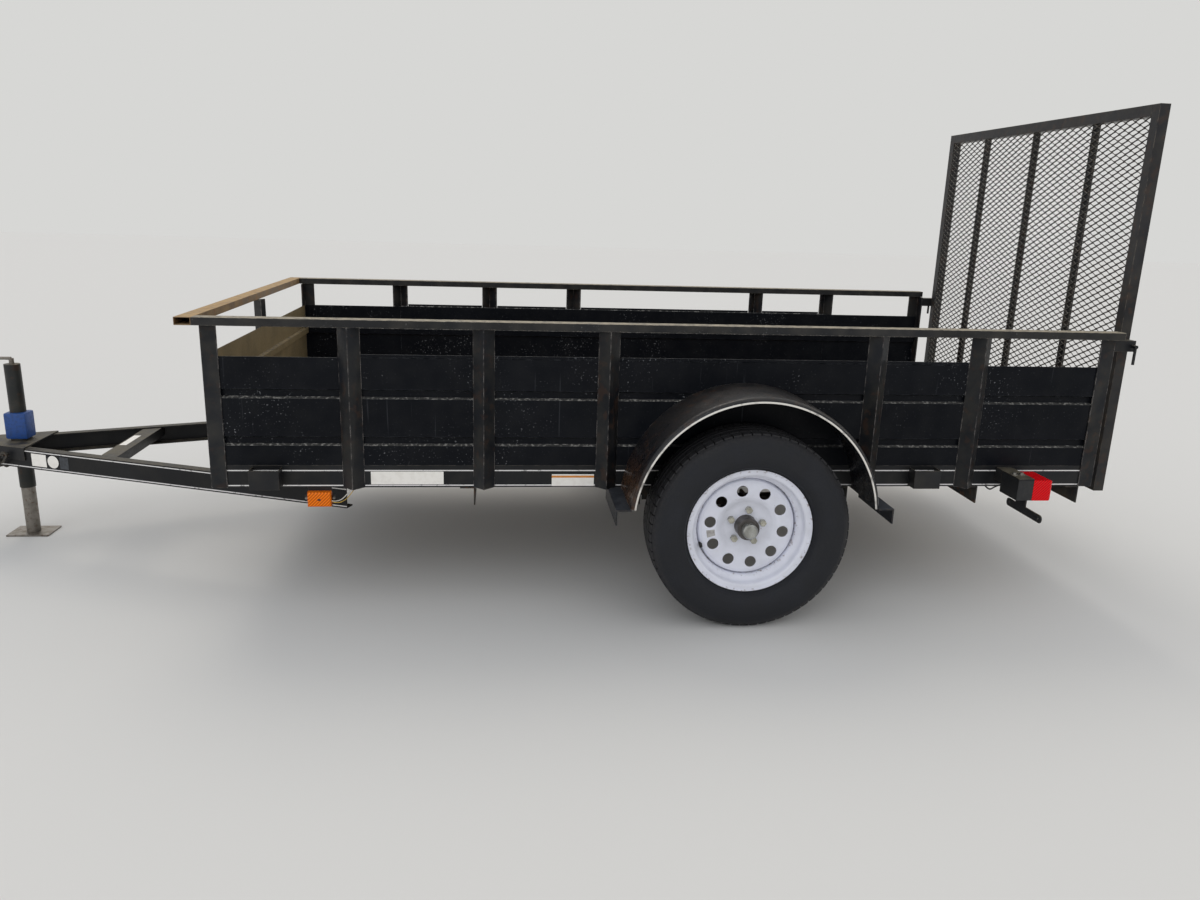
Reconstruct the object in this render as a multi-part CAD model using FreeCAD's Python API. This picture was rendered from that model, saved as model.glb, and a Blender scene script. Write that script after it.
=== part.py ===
"""Single-axle utility trailer with ribbed steel sides and a mesh ramp gate.

Millimetres. +X points forward to the coupler, +Y to the left, +Z up. The origin is on the ground
under the middle of the trailer. A station is a distance behind the outer face of the front rail.
"""
import FreeCAD, Part
import math
import os

os.makedirs("parts", exist_ok=True)
V = FreeCAD.Vector

# Bed frame, 3 x 2 inch angle
BED_LENGTH = 3048.0
BED_HALF_WIDTH = 777.0
RAIL_HEIGHT = 76.2
RAIL_LEG = 50.8
RAIL_WALL = 4.8
BED_OVER_AXLE = 91.0

# Cross members under the side rails
CROSS_HEIGHT = 63.5
CROSS_LEG = 50.8
CROSS_WALL = 4.8
CROSS_FROM_REAR = (1643.0, 908.0, 428.0, 44.0)
TONGUE_MEMBER_HEIGHT = 41.0
TONGUE_MEMBER_WIDTH = 76.2
SECOND_MEMBER = 322.0
FIRST_CROSS_SHARE = 0.5
TONGUE_MEMBER_INSET = 137.0

# Deck
PLANK_COUNT = 11
PLANK_THICKNESS = 38.0
PLANK_GAP = 3.0

# Walls: sheet, posts and top rails
SHEET = 2.0
WALL_HEIGHT = 368.0
LOWER_GROOVE = 66.0
UPPER_GROOVE = 222.0
GROOVE_HEIGHT = 31.0
GROOVE_DEPTH = 12.0
GROOVE_SLOPE = 5.0
HEM_HEIGHT = 12.0
HEM_STEP = 3.0
SHEET_GAP = 1.0
TOP_RAIL_WIDTH = 50.8
TOP_RAIL_HEIGHT = 25.4
TOP_RAIL_WALL = 2.5
TOP_RAIL_OVER_WALL = 87.8
TOP_RAIL_FRONT_OVERHANG = 68.8
TOP_RAIL_REAR_OVERHANG = 12.0
POST_LEG = 50.8
POST_WALL = 4.8
POSTS_FROM_FRONT = (448.0, 874.0, 1283.0)
POSTS_FROM_REAR = (850.0, 486.0)

# Stake pockets, to the front edge of each
POCKET_FROM_FRONT = 125.0
POCKET_FROM_REAR = 691.0
POCKET_LENGTH = 95.0
POCKET_DEPTH = 50.0
POCKET_HEIGHT = 65.0
POCKET_WALL = 3.0

# Tongue, 3 inch channel
TONGUE_ANGLE = 21.5
TONGUE_HEIGHT = 76.2
TONGUE_FLANGE = 38.0
TONGUE_WALL = 5.0
TONGUE_APEX = 1241.0
TONGUE_START = 150.0
TONGUE_SIDE_GAP = 131.0
BRACE_STATION = -580.0
BRACE_WIDTH = 66.0
BRACE_HEIGHT = 38.0
BRACE_WALL = 5.0

# Coupler for a two inch ball
BALL_RADIUS = 25.4
BALL_CLEARANCE = 0.3
BALL_AHEAD_OF_APEX = 101.0
COUPLER_PLATE = 5.0
COUPLER_SKIRT = 44.0
COUPLER_NOSE_RADIUS = 42.0
COUPLER_REACH = 383.0
SOCKET_DEPTH = 16.0
LATCH_LENGTH = 120.0
LATCH_WIDTH = 26.0
LATCH_HEIGHT = 34.0
LATCH_SETBACK = 13.0
LATCH_PIVOT_RADIUS = 6.0
LATCH_PIVOT_BACK = 14.0
LATCH_PIVOT_PROUD = 6.0

# Safety chains, to each side of the tongue
CHAIN_ON_RAIL = 308.0
CHAIN_BEHIND_BALL = 21.0
CHAIN_BELOW_TOP = 22.0
CHAIN_OUT = 18.0
CHAIN_SLACK = 1.3
LINK_INSIDE = 34.0
LINK_SEAT = 0.5
LINK_WIDTH = 29.0
LINK_WIRE = 7.0
LINK_CORNER = 6.5
CHAIN_BOLT_RADIUS = 4.5
CHAIN_BOLT_LENGTH = 26.0
HANG_STEEPEST = 2.0
HANG_PRECISION = 1e-6

# Jack behind the coupler
JACK_STATION = -960.0
JACK_TUBE_RADIUS = 28.5
JACK_TUBE_BELOW = 190.0
JACK_TUBE_ABOVE = 306.0
JACK_LEG_RADIUS = 25.4
JACK_LEG_CLEARANCE = 0.6
JACK_PLATE_LENGTH = 160.0
JACK_PLATE_WIDTH = 115.0
JACK_PLATE = 6.0
JACK_FLANGE = 8.0
JACK_FLANGE_RADIUS = 37.0
CRANK_RISE = 22.0
CRANK_SHAFT_RADIUS = 9.0
CRANK_RADIUS = 6.0
CRANK_ARM = 120.0
CRANK_KNOB = 75.0
CRANK_KNOB_RADIUS = 11.0

# Axle, springs, wheels
AXLE_FROM_REAR = 1307.0
TYRE_RADIUS = 335.0
AXLE_TUBE = 50.8
SPINDLE_RADIUS = 19.0
SPINDLE_CLEARANCE = 0.05
SPINDLE_END_GAP = 2.0
WHEEL_OUTSET = 135.0
SPRING_INSET = 27.0
SPRING_HALF_LENGTH = 300.0
SPRING_SAG = 15.0
LEAF_THICKNESS = 7.0
LEAF_WIDTH = 44.0
LEAF_SPANS = (1.0, 0.82, 0.58, 0.34)
EYE_RADIUS = 15.0
EYE_BOLT_RADIUS = 8.0
EYE_BOLT_CLEARANCE = 0.3
EYE_BOLT_PROUD = 10.0
HANGER_WALL = 5.0
HANGER_LENGTH = 60.0
HANGER_SIDE_GAP = 1.0
HANGER_LIP = 4.0
CLAMP_PLATE = 8.0
CLAMP_LENGTH = 100.0
U_BOLT_RADIUS = 6.0
U_BOLT_GAP = 1.0
U_BOLT_PROUD = 10.0
CLAMP_MARGIN = 6.0

# Tyre
TYRE_HALF_WIDTH = 101.5
TREAD_HALF_WIDTH = 77.0
TREAD_DROP = 5.0
CROWN_HALF_WIDTH = 55.0
SHOULDER_DROP = 22.0
SHOULDER_IN = 8.0
WALL_DROP = 56.0
BULGE_DROP = 84.0
BULGE_IN = 5.0
TYRE_STRIPS = 54
BEAD_RADIUS = 190.5
BEAD_HALF_WIDTH = 50.0
BEAD_GAP = 2.0

# Rim and pressed disc
RIM_LIP_RADIUS = 210.5
RIM_HALF_WIDTH = 63.5
RIM_LIP = 8.0
RIM_LIP_ROLL = 4.0
RIM_GAP = 0.5
RIM_WALL = 3.0
RIM_SEAT_INNER = 36.0
RIM_WELL_RADIUS = 171.0
RIM_WELL_HALF_WIDTH = 17.0
DISC_WALL = 4.0
DISC_SEAT = 8.0
DISC_SEAT_RADIUS = 74.0
DISC_FACE = 24.0
DISC_FACE_INNER = 104.0
DISC_FACE_OUTER = 148.0
DISC_SKIRT = 10.0
DISC_HOLE_RADIUS = 18.0
DISC_HOLE_CIRCLE = 125.0
DISC_HOLES = 10
DISC_HOLE_TURN = 8.0
DISC_BORE_CLEARANCE = 0.5
NUT_CIRCLE = 57.15
NUT_COUNT = 5
NUT_TURN = 24.0
NUT_FLATS = 20.6
NUT_LENGTH = 18.0
HUB_RADIUS = 37.5
HUB_FLANGE_RADIUS = 68.0
HUB_FLANGE = 10.0
HUB_FRONT = 45.0
HUB_BACK = 55.0
HUB_CHAMFER = 4.0
HUB_SEAL_GAP = 12.0
CAP_RADIUS = 25.15
CAP_LENGTH = 28.0
CAP_CHAMFER = 5.0

# Fenders
FENDER_AFT = 5.0
FENDER_RISE = 43.0
FENDER_RADIUS = 412.0
FENDER_WIDTH = 252.0
FENDER_ROLL = 17.0
FENDER_SHEET = 3.0
FENDER_SPARE_TURN = 2.0
BRACKET_LEG = 50.8
BRACKET_WALL = 4.8
BRACKET_UNDER_RAIL = 37.0
BRACKET_TOE = 1.0

# Ramp gate
PIN_BEHIND_RAIL = 28.0
PIN_OVER_RAIL_FOOT = -16.0
PIN_RADIUS = 8.0
PIN_CLEARANCE = 0.3
PIN_PROUD = 6.0
BARREL_RADIUS = 14.0
BARREL_LENGTH = 80.0
SADDLE_STEP = 2.0
LUG_PLATE = 8.0
LUG_HALF_HEIGHT = 10.0
LUG_ON_RAIL = 26.0
LUG_GAP = 0.5
GATE_CLEARANCE = 5.0
HINGE_POSITIONS = (-560.0, 0.0, 560.0)
GATE_TUBE = 38.0
GATE_WALL = 2.5
GATE_INSET = 44.0
GATE_BELOW_PIN = 16.0
GATE_HEIGHT = 1341.0
GATE_BARS = (-392.0, 0.0, 392.0)
MESH_INSET = 2.0
MESH_THICKNESS = 4.0
MESH_PITCH_Y = 152.0
MESH_PITCH_Z = 68.0
MESH_STRAND = 14.0
MESH_BORDER = 12.0
KEEPER_SIZE = 38.0
KEEPER_LENGTH = 78.0
KEEPER_WALL = 3.0
KEEPER_DROP = 5.0
KEEPER_GAP = 7.0
KEEPER_PIN_RADIUS = 6.0
KEEPER_HANDLE_DROP = 62.0
KEEPER_HANDLE_OUT = 24.0
KEEPER_HANDLE_RADIUS = 4.8

# Lamps
LAMP_FROM_REAR = 369.0
LAMP_DROP = 5.0
LAMP_BODY = 56.0
LAMP_LENS = 70.0
LAMP_WIDTH = 110.0
LAMP_HEIGHT = 72.0
LAMP_REACH = 151.0
LAMP_LENS_ROUND = 12.0
ARM_PLATE = 5.0
ARM_WEB = 40.0
PLATE_BAR_LENGTH = 216.0
PLATE_BAR_HEIGHT = 28.0
PLATE_BAR_DROP = 31.0
PLATE_HOLE_SPACING = 178.0
PLATE_HOLE_RADIUS = 3.5
PLATE_BAR_INSET = 33.0
PLATE_BAR_ROUND = 12.0
STEM_WIDTH = 60.0
MARKER_FROM_FRONT = 298.0
MARKER_LENGTH = 76.0
MARKER_HEIGHT = 50.0
MARKER_DEPTH = 24.0
MARKER_DROP = 12.0

# Worked-out places
AXLE_HEIGHT = TYRE_RADIUS
RAIL_BOTTOM = AXLE_HEIGHT + BED_OVER_AXLE
RAIL_TOP = RAIL_BOTTOM + RAIL_HEIGHT
DECK_TOP = RAIL_BOTTOM + PLANK_THICKNESS
WALL_TOP = RAIL_TOP + WALL_HEIGHT
TOP_RAIL_UNDERSIDE = WALL_TOP + TOP_RAIL_OVER_WALL
POST_RIDGE = POST_LEG * math.cos(math.pi / 4)
TOP_RAIL_OUTER = BED_HALF_WIDTH + POST_RIDGE
TONGUE_TOP = RAIL_BOTTOM - TONGUE_MEMBER_HEIGHT
JACK_TUBE_BOTTOM = TONGUE_TOP - JACK_TUBE_BELOW
JACK_TUBE_TOP = TONGUE_TOP + JACK_TUBE_ABOVE
PIN_HEIGHT = RAIL_BOTTOM + PIN_OVER_RAIL_FOOT
PIN_STATION = BED_LENGTH + PIN_BEHIND_RAIL
GATE_FRONT = PIN_STATION + BARREL_RADIUS + GATE_CLEARANCE
GATE_REAR = GATE_FRONT + GATE_TUBE
GATE_BOTTOM = PIN_HEIGHT - GATE_BELOW_PIN
GATE_TOP = GATE_BOTTOM + GATE_HEIGHT
KEEPER_TOP = TOP_RAIL_UNDERSIDE - KEEPER_DROP
LAMP_TOP = RAIL_TOP - LAMP_DROP
PLATE_BAR_TOP = LAMP_TOP - ARM_PLATE - LAMP_HEIGHT - PLATE_BAR_DROP
BALL_STATION = -(TONGUE_APEX + BALL_AHEAD_OF_APEX)
NOSE_STATION = BALL_STATION - COUPLER_NOSE_RADIUS
BED_FRONT_X = (GATE_REAR + NOSE_STATION) / 2
WHEEL_PLANE = BED_HALF_WIDTH + WHEEL_OUTSET
SPRING_PLANE = BED_HALF_WIDTH - SPRING_INSET
GATE_HALF_WIDTH = BED_HALF_WIDTH - GATE_INSET
LAMP_STATION = BED_LENGTH - LAMP_FROM_REAR
LAMP_OUTER = BED_HALF_WIDTH + LAMP_REACH
PLATE_BAR_CENTRE = LAMP_OUTER - PLATE_BAR_INSET
POST_STATIONS = POSTS_FROM_FRONT + tuple(BED_LENGTH - back for back in POSTS_FROM_REAR)
POCKET_STATIONS = (POCKET_FROM_FRONT, BED_LENGTH - POCKET_FROM_REAR)
AXLE_STATION = BED_LENGTH - AXLE_FROM_REAR
FENDER_STATION = AXLE_STATION + FENDER_AFT
FENDER_CENTRE_Z = AXLE_HEIGHT + FENDER_RISE
FENDER_OUTER = BED_HALF_WIDTH + FENDER_WIDTH
FENDER_FOOT = math.sqrt(FENDER_RADIUS ** 2 - (RAIL_BOTTOM - FENDER_CENTRE_Z) ** 2)
BRACKET_HEEL = FENDER_FOOT - FENDER_SHEET - BRACKET_TOE + BRACKET_LEG
FREE_FRONT = SECOND_MEMBER + TONGUE_MEMBER_WIDTH
FREE_REAR = FENDER_STATION - BRACKET_HEEL
FIRST_CROSS = FREE_FRONT + FIRST_CROSS_SHARE * (FREE_REAR - FREE_FRONT)
CROSS_STATIONS = (FIRST_CROSS,) + tuple(BED_LENGTH - back for back in CROSS_FROM_REAR)


def at(station):
    """X of a station behind the front of the bed."""
    return BED_FRONT_X - station


def box(stations, widths, heights):
    """Block between two stations, two Y values and two Z values."""
    front, rear = stations
    low_y, high_y = widths
    low_z, high_z = heights
    corner = V(at(rear), low_y, low_z)
    return Part.makeBox(rear - front, high_y - low_y, high_z - low_z, corner)


def plate(points):
    """Flat face through the given corners."""
    return Part.Face(Part.makePolygon(points + [points[0]]))


def along_bed(outline, front, rear):
    """Section of (y, z) corners extruded from one station to another."""
    face = plate([V(at(front), y, z) for y, z in outline])
    return face.extrude(V(front - rear, 0, 0))


def across(outline, low_y, high_y):
    """Outline of (station, z) corners extruded along Y."""
    face = plate([V(at(s), low_y, z) for s, z in outline])
    return face.extrude(V(0, high_y - low_y, 0))


def upright(outline, low_z, high_z):
    """Outline of (station, y) corners extruded upward."""
    face = plate([V(at(s), y, low_z) for s, y in outline])
    return face.extrude(V(0, 0, high_z - low_z))


def rod(start, end, radius):
    """Round bar between two points."""
    line = end - start
    return Part.makeCylinder(radius, line.Length, start, line)


def mirrored(shape):
    """The same piece on the other side of the trailer."""
    return shape.mirror(V(0, 0, 0), V(0, 1, 0))


def both(shapes):
    """The pieces of the left side and their copies on the right."""
    return list(shapes) + [mirrored(s) for s in shapes]


def angle(outer, leg_out, leg_down, wall):
    """L section from its outer corner, its legs running by the signed lengths."""
    y, z = outer
    wall_y = math.copysign(wall, leg_out)
    wall_z = math.copysign(wall, leg_down)
    return [(y, z), (y + leg_out, z), (y + leg_out, z + wall_z),
            (y + wall_y, z + wall_z), (y + wall_y, z + leg_down), (y, z + leg_down)]


def hollow(stations, widths, heights, wall, axis):
    """Rectangular tube, open at both ends along the named axis."""
    spans = {"x": stations, "y": widths, "z": heights}
    bore = {name: (span if name == axis else (span[0] + wall, span[1] - wall))
            for name, span in spans.items()}
    return box(stations, widths, heights).cut(box(bore["x"], bore["y"], bore["z"]))


def offset_line(points, distance):
    """Mitred parallel of an open line of (a, b) corners, to the right of its run."""
    normals = []
    for (a0, b0), (a1, b1) in zip(points, points[1:]):
        length = math.hypot(a1 - a0, b1 - b0)
        normals.append(((b1 - b0) / length, -(a1 - a0) / length))
    moved = []
    for i, (a, b) in enumerate(points):
        before = normals[max(i - 1, 0)]
        after = normals[min(i, len(normals) - 1)]
        scale = distance / (1 + before[0] * after[0] + before[1] * after[1])
        moved.append((a + scale * (before[0] + after[0]), b + scale * (before[1] + after[1])))
    return moved


def strip(points, wall):
    """Closed outline of a sheet that follows an open line."""
    return points + offset_line(points, wall)[::-1]


def spun(points, centre, turn=360.0):
    """Outline of (y, radius) corners turned about an axis along Y through (station, z)."""
    station, height = centre
    face = plate([V(at(station), y, height + r) for y, r in points])
    return face.revolve(V(at(station), 0, height), V(0, 1, 0), turn)


def save(name, shapes):
    """Write one sub-part."""
    solids = [solid for shape in shapes for solid in shape.Solids]
    shape = solids[0] if len(solids) == 1 else Part.makeCompound(solids)
    shape.exportStep("parts/" + name + ".step")


def frame_rails():
    """Side, front and rear rails of the bed."""
    side = along_bed(angle((BED_HALF_WIDTH, RAIL_TOP), -RAIL_LEG, -RAIL_HEIGHT, RAIL_WALL),
                     0, BED_LENGTH)
    save("frame_side_rails", both([side]))
    inner = BED_HALF_WIDTH - RAIL_WALL
    clear = BED_HALF_WIDTH - RAIL_LEG
    front = across([(0, RAIL_BOTTOM), (RAIL_WALL, RAIL_BOTTOM), (RAIL_WALL, RAIL_TOP),
                    (0, RAIL_TOP)], -inner, inner)
    front = front.cut(box((0, RAIL_WALL), (clear, inner), (RAIL_TOP - RAIL_WALL, RAIL_TOP)))
    front = front.cut(box((0, RAIL_WALL), (-inner, -clear), (RAIL_TOP - RAIL_WALL, RAIL_TOP)))
    low = RAIL_BOTTOM
    wall = BED_LENGTH - RAIL_WALL
    rear = across([(wall, low), (BED_LENGTH, low), (BED_LENGTH, DECK_TOP + RAIL_WALL),
                   (BED_LENGTH - RAIL_LEG, DECK_TOP + RAIL_WALL), (BED_LENGTH - RAIL_LEG, DECK_TOP),
                   (wall, DECK_TOP)], -inner, inner)
    save("frame_end_rails", [front, rear])


def cross_members():
    """Angles under the bed and the two flat members that the tongue is welded under."""
    pieces = []
    low = RAIL_BOTTOM - CROSS_HEIGHT
    for s in CROSS_STATIONS:
        leg = s - CROSS_LEG
        outline = [(s, RAIL_BOTTOM), (leg, RAIL_BOTTOM), (leg, RAIL_BOTTOM - CROSS_WALL),
                   (s - CROSS_WALL, RAIL_BOTTOM - CROSS_WALL), (s - CROSS_WALL, low), (s, low)]
        pieces.append(across(outline, -BED_HALF_WIDTH, BED_HALF_WIDTH))
    reach = BED_HALF_WIDTH - TONGUE_MEMBER_INSET
    for s in (0.0, SECOND_MEMBER):
        pieces.append(hollow((s, s + TONGUE_MEMBER_WIDTH), (-reach, reach),
                             (TONGUE_TOP, RAIL_BOTTOM), CROSS_WALL, "y"))
    save("cross_members", pieces)


def deck():
    """Planks along the bed, between the side rails."""
    inner = BED_HALF_WIDTH - RAIL_WALL - PLANK_GAP
    pitch = (2 * inner + PLANK_GAP) / PLANK_COUNT
    ends = (RAIL_WALL + PLANK_GAP, BED_LENGTH - RAIL_WALL - PLANK_GAP)
    planks = []
    for i in range(PLANK_COUNT):
        low = -inner + i * pitch
        planks.append(box(ends, (low, low + pitch - PLANK_GAP), (RAIL_BOTTOM, DECK_TOP)))
    save("deck_planks", planks)


def wall_line(hem):
    """Outer face of a wall sheet, as (distance outward, z) from its foot up."""
    line = [(0.0, RAIL_TOP)]
    for low in (LOWER_GROOVE, UPPER_GROOVE):
        z = RAIL_TOP + low
        line += [(0.0, z), (-GROOVE_DEPTH, z + GROOVE_SLOPE),
                 (-GROOVE_DEPTH, z + GROOVE_HEIGHT - GROOVE_SLOPE), (0.0, z + GROOVE_HEIGHT)]
    line.append((0.0, WALL_TOP - HEM_HEIGHT))
    if hem:
        line += [(HEM_STEP, WALL_TOP - HEM_HEIGHT + HEM_STEP), (HEM_STEP, WALL_TOP)]
    return line


def walls():
    """Ribbed sheets of the sides, one long with a hem and a plain one at each end, and the front."""
    outer = BED_HALF_WIDTH
    first, last = POST_STATIONS[0], POST_STATIONS[-1]
    # Columns: front station, rear station, hem along the top
    sheets = ((SHEET_GAP, first - SHEET_GAP, False),
              (first, last, True),
              (last + SHEET_GAP, BED_LENGTH - POST_WALL - SHEET_GAP, False))
    left = []
    for front, rear, hem in sheets:
        line = [(outer + out, z) for out, z in wall_line(hem)]
        sheet = along_bed(strip(line, -SHEET), front, rear)
        for station in POST_STATIONS:
            reach = POST_RIDGE + SHEET_GAP
            sheet = sheet.cut(box((station - reach, station + reach), (outer, outer + 2 * HEM_STEP),
                                  (WALL_TOP - 2 * HEM_HEIGHT, WALL_TOP + HEM_HEIGHT)))
        left.append(sheet)
    save("side_sheets_left", left)
    save("side_sheets_right", [mirrored(s) for s in left])
    line = [(-out, z) for out, z in wall_line(False)]
    half = outer - GROOVE_DEPTH - SHEET - SHEET_GAP
    save("front_sheet", [across(strip(line, SHEET), -half, half)])


def chevron(centre):
    """Angle turned corner outward, as (along, out) corners with flat toes."""
    flat = POST_WALL * math.sqrt(2)
    c = centre
    return [(c - POST_RIDGE, 0.0), (c, POST_RIDGE), (c + POST_RIDGE, 0.0),
            (c + POST_RIDGE - flat, 0.0), (c, POST_RIDGE - flat), (c - POST_RIDGE + flat, 0.0)]


def posts():
    """Side posts with the corner outward, flat corner posts and the front middle post."""
    side = []
    for station in POST_STATIONS:
        outline = [(s, BED_HALF_WIDTH + out) for s, out in chevron(station)]
        side.append(upright(outline, RAIL_BOTTOM, TOP_RAIL_UNDERSIDE))
    save("side_posts_left", side)
    save("side_posts_right", [mirrored(s) for s in side])
    face = BED_HALF_WIDTH
    out = face + POST_WALL
    front = [(-POST_WALL, out), (POST_LEG - POST_WALL, out), (POST_LEG - POST_WALL, face),
             (0.0, face), (0.0, out - POST_LEG), (-POST_WALL, out - POST_LEG)]
    end = BED_LENGTH
    outer_leg = box((end - POST_LEG, end), (face, out), (RAIL_BOTTOM, TOP_RAIL_UNDERSIDE))
    inner_leg = box((end - POST_WALL, end), (out - POST_LEG, face), (RAIL_TOP, TOP_RAIL_UNDERSIDE))
    corners = both([upright(front, RAIL_BOTTOM, TOP_RAIL_UNDERSIDE),
                    outer_leg.fuse(inner_leg).removeSplitter()])
    outline = [(-o, y) for y, o in chevron(0.0)]
    save("end_posts", corners + [upright(outline, RAIL_BOTTOM, TOP_RAIL_UNDERSIDE)])


def top_rails():
    """Flat rectangular tubes along both sides and across the front."""
    heights = (TOP_RAIL_UNDERSIDE, TOP_RAIL_UNDERSIDE + TOP_RAIL_HEIGHT)
    inner = TOP_RAIL_OUTER - TOP_RAIL_WIDTH
    front = -TOP_RAIL_FRONT_OVERHANG
    joint = front + TOP_RAIL_WIDTH
    side = hollow((joint, BED_LENGTH + TOP_RAIL_REAR_OVERHANG), (inner, TOP_RAIL_OUTER),
                  heights, TOP_RAIL_WALL, "x")
    save("top_rails", both([side]))
    across_front = hollow((front, joint), (-TOP_RAIL_OUTER, TOP_RAIL_OUTER),
                          heights, TOP_RAIL_WALL, "y")
    save("top_rail_front", [across_front])


def stake_pockets():
    """Formed pockets on the side rails, open above and below."""
    top = RAIL_TOP - (RAIL_HEIGHT - POCKET_HEIGHT) / 2
    face = BED_HALF_WIDTH
    left = []
    for s in POCKET_STATIONS:
        shell = box((s, s + POCKET_LENGTH), (face, face + POCKET_DEPTH), (top - POCKET_HEIGHT, top))
        bore = box((s + POCKET_WALL, s + POCKET_LENGTH - POCKET_WALL),
                   (face, face + POCKET_DEPTH - POCKET_WALL), (top - POCKET_HEIGHT, top))
        left.append(shell.cut(bore))
    save("stake_pockets", both(left))


def tongue_point(along, out):
    """Station and Y of a point on the left tongue rail, from the apex of the outer faces."""
    turn = math.radians(TONGUE_ANGLE)
    station = -TONGUE_APEX + along * math.cos(turn) - out * math.sin(turn)
    return station, along * math.sin(turn) + out * math.cos(turn)


def tongue():
    """Two channels that meet at the coupler, and the brace between them."""
    top = TONGUE_TOP
    low = top - TONGUE_HEIGHT
    end = (BED_HALF_WIDTH - TONGUE_SIDE_GAP) / math.sin(math.radians(TONGUE_ANGLE))
    # Columns: outermost offset, innermost offset, low z, high z
    walls_of_channel = ((0.0, -TONGUE_WALL, low, top),
                        (-TONGUE_WALL, -TONGUE_FLANGE, top - TONGUE_WALL, top),
                        (-TONGUE_WALL, -TONGUE_FLANGE, low, low + TONGUE_WALL))
    rail = None
    for out, back, z0, z1 in walls_of_channel:
        outline = [tongue_point(TONGUE_START, out), tongue_point(end, out),
                   tongue_point(end, back), tongue_point(TONGUE_START, back)]
        piece = upright(outline, z0, z1)
        rail = piece if rail is None else rail.fuse(piece)
    save("tongue_rails", both([rail.removeSplitter()]))
    front, rear = BRACE_STATION, BRACE_STATION + BRACE_WIDTH
    slope = math.tan(math.radians(TONGUE_ANGLE))
    lip = TONGUE_WALL / math.cos(math.radians(TONGUE_ANGLE))
    reach = [(s + TONGUE_APEX) * slope - lip for s in (front, rear)]
    under = top - TONGUE_WALL
    outline = [(front, -reach[0]), (front, reach[0]), (rear, reach[1]), (rear, -reach[1])]
    brace = upright(outline, under - BRACE_HEIGHT, under)
    bore = box((front + BRACE_WALL, rear - BRACE_WALL), (-reach[1], reach[1]),
               (under - BRACE_HEIGHT, under - BRACE_WALL))
    save("tongue_brace", [brace.cut(bore)])


def coupler():
    """Formed plate over the rails' ends with a ball socket in its nose, and its latch."""
    top = TONGUE_TOP
    nose = COUPLER_NOSE_RADIUS
    rear = tongue_point(COUPLER_REACH, COUPLER_PLATE)
    waist = (BALL_STATION + nose, nose)
    start = tongue_point(TONGUE_START, COUPLER_PLATE)
    outline = [rear, start, waist, (BALL_STATION, nose), (BALL_STATION, -nose),
               (waist[0], -nose), (start[0], -start[1]), (rear[0], -rear[1])]
    cover = upright(outline, top, top + COUPLER_PLATE)
    outer = upright(outline, top - COUPLER_SKIRT, top)
    in_rear = tongue_point(COUPLER_REACH, 0.0)
    in_start = tongue_point(TONGUE_START, 0.0)
    slim = nose - COUPLER_PLATE
    hollow_outline = [in_rear, in_start, (waist[0], slim), (BALL_STATION, slim),
                      (BALL_STATION, -slim), (waist[0], -slim), (in_start[0], -in_start[1]),
                      (in_rear[0], -in_rear[1])]
    skirt = outer.cut(upright(hollow_outline, top - COUPLER_SKIRT, top))
    centre = V(at(BALL_STATION), 0, top - COUPLER_SKIRT + SOCKET_DEPTH)
    head = Part.makeCylinder(nose, COUPLER_SKIRT + COUPLER_PLATE,
                             V(at(BALL_STATION), 0, top - COUPLER_SKIRT))
    socket = BALL_RADIUS + BALL_CLEARANCE
    body = cover.fuse(skirt).fuse(head)
    body = body.cut(Part.makeSphere(socket, centre))
    body = body.cut(Part.makeCylinder(socket, SOCKET_DEPTH, V(centre.x, 0, top - COUPLER_SKIRT)))
    body = body.cut(Part.makeCylinder(JACK_TUBE_RADIUS + JACK_LEG_CLEARANCE, COUPLER_PLATE,
                                      V(at(JACK_STATION), 0, top)))
    save("coupler", [body.removeSplitter()])
    base = top + COUPLER_PLATE
    half = LATCH_WIDTH / 2
    front = BALL_STATION + LATCH_SETBACK
    back = front + LATCH_LENGTH
    high = base + LATCH_HEIGHT
    lever = across([(front, base), (back, high - LATCH_HEIGHT / 4), (back, high),
                    (front + LATCH_LENGTH / 3, high - LATCH_HEIGHT / 3), (front, base + LATCH_HEIGHT / 2)],
                   -half, half)
    pin_x = at(front + LATCH_PIVOT_BACK)
    pin_z = base + LATCH_HEIGHT / 4
    reach = half + LATCH_PIVOT_PROUD
    pivot = rod(V(pin_x, -reach, pin_z), V(pin_x, reach, pin_z), LATCH_PIVOT_RADIUS)
    save("coupler_latch", [lever.fuse(pivot).removeSplitter()])


def eight_sided(half_length, half_width, corner):
    """Rectangle with its corners cut off, about its middle."""
    long_, wide = half_length - corner, half_width - corner
    return [(-long_, -half_width), (long_, -half_width), (half_length, -wide), (half_length, wide),
            (long_, half_width), (-long_, half_width), (-half_length, wide), (-half_length, -wide)]


def chain_link(middle, along, wide):
    """Flat ring about a middle, its length and width along two unit vectors."""
    thick = along.cross(wide)
    half = LINK_INSIDE / 2
    rings = []
    for edge in (LINK_WIRE, 0.0):
        corners = eight_sided(half + edge, LINK_WIDTH / 2 - LINK_WIRE + edge,
                              LINK_CORNER - (LINK_WIRE - edge) / 2)
        points = [middle + along * a + wide * b - thick * (LINK_WIRE / 2) for a, b in corners]
        rings.append(plate(points).extrude(thick * LINK_WIRE))
    return rings[0].cut(rings[1])


def hanging(start, end, pitch):
    """Corners of a chain of an odd number of equal links between two points of one height."""
    span = (end - start).Length
    count = 2 * int(CHAIN_SLACK * span / pitch / 2) + 1
    middle = (count - 1) / 2
    slack, tight = HANG_STEEPEST, 0.0
    while slack - tight > HANG_PRECISION:
        steep = (slack + tight) / 2
        reach = sum(pitch / math.hypot(1.0, steep * (i - middle)) for i in range(count))
        slack, tight = (slack, steep) if reach > span else (steep, tight)
    forward = (end - start) * (1 / span)
    corners = [start]
    for i in range(count):
        slope = math.atan(steep * (i - middle))
        corners.append(corners[-1] + forward * (pitch * math.cos(slope))
                       + V(0, 0, pitch * math.sin(slope)))
    return corners


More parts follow.
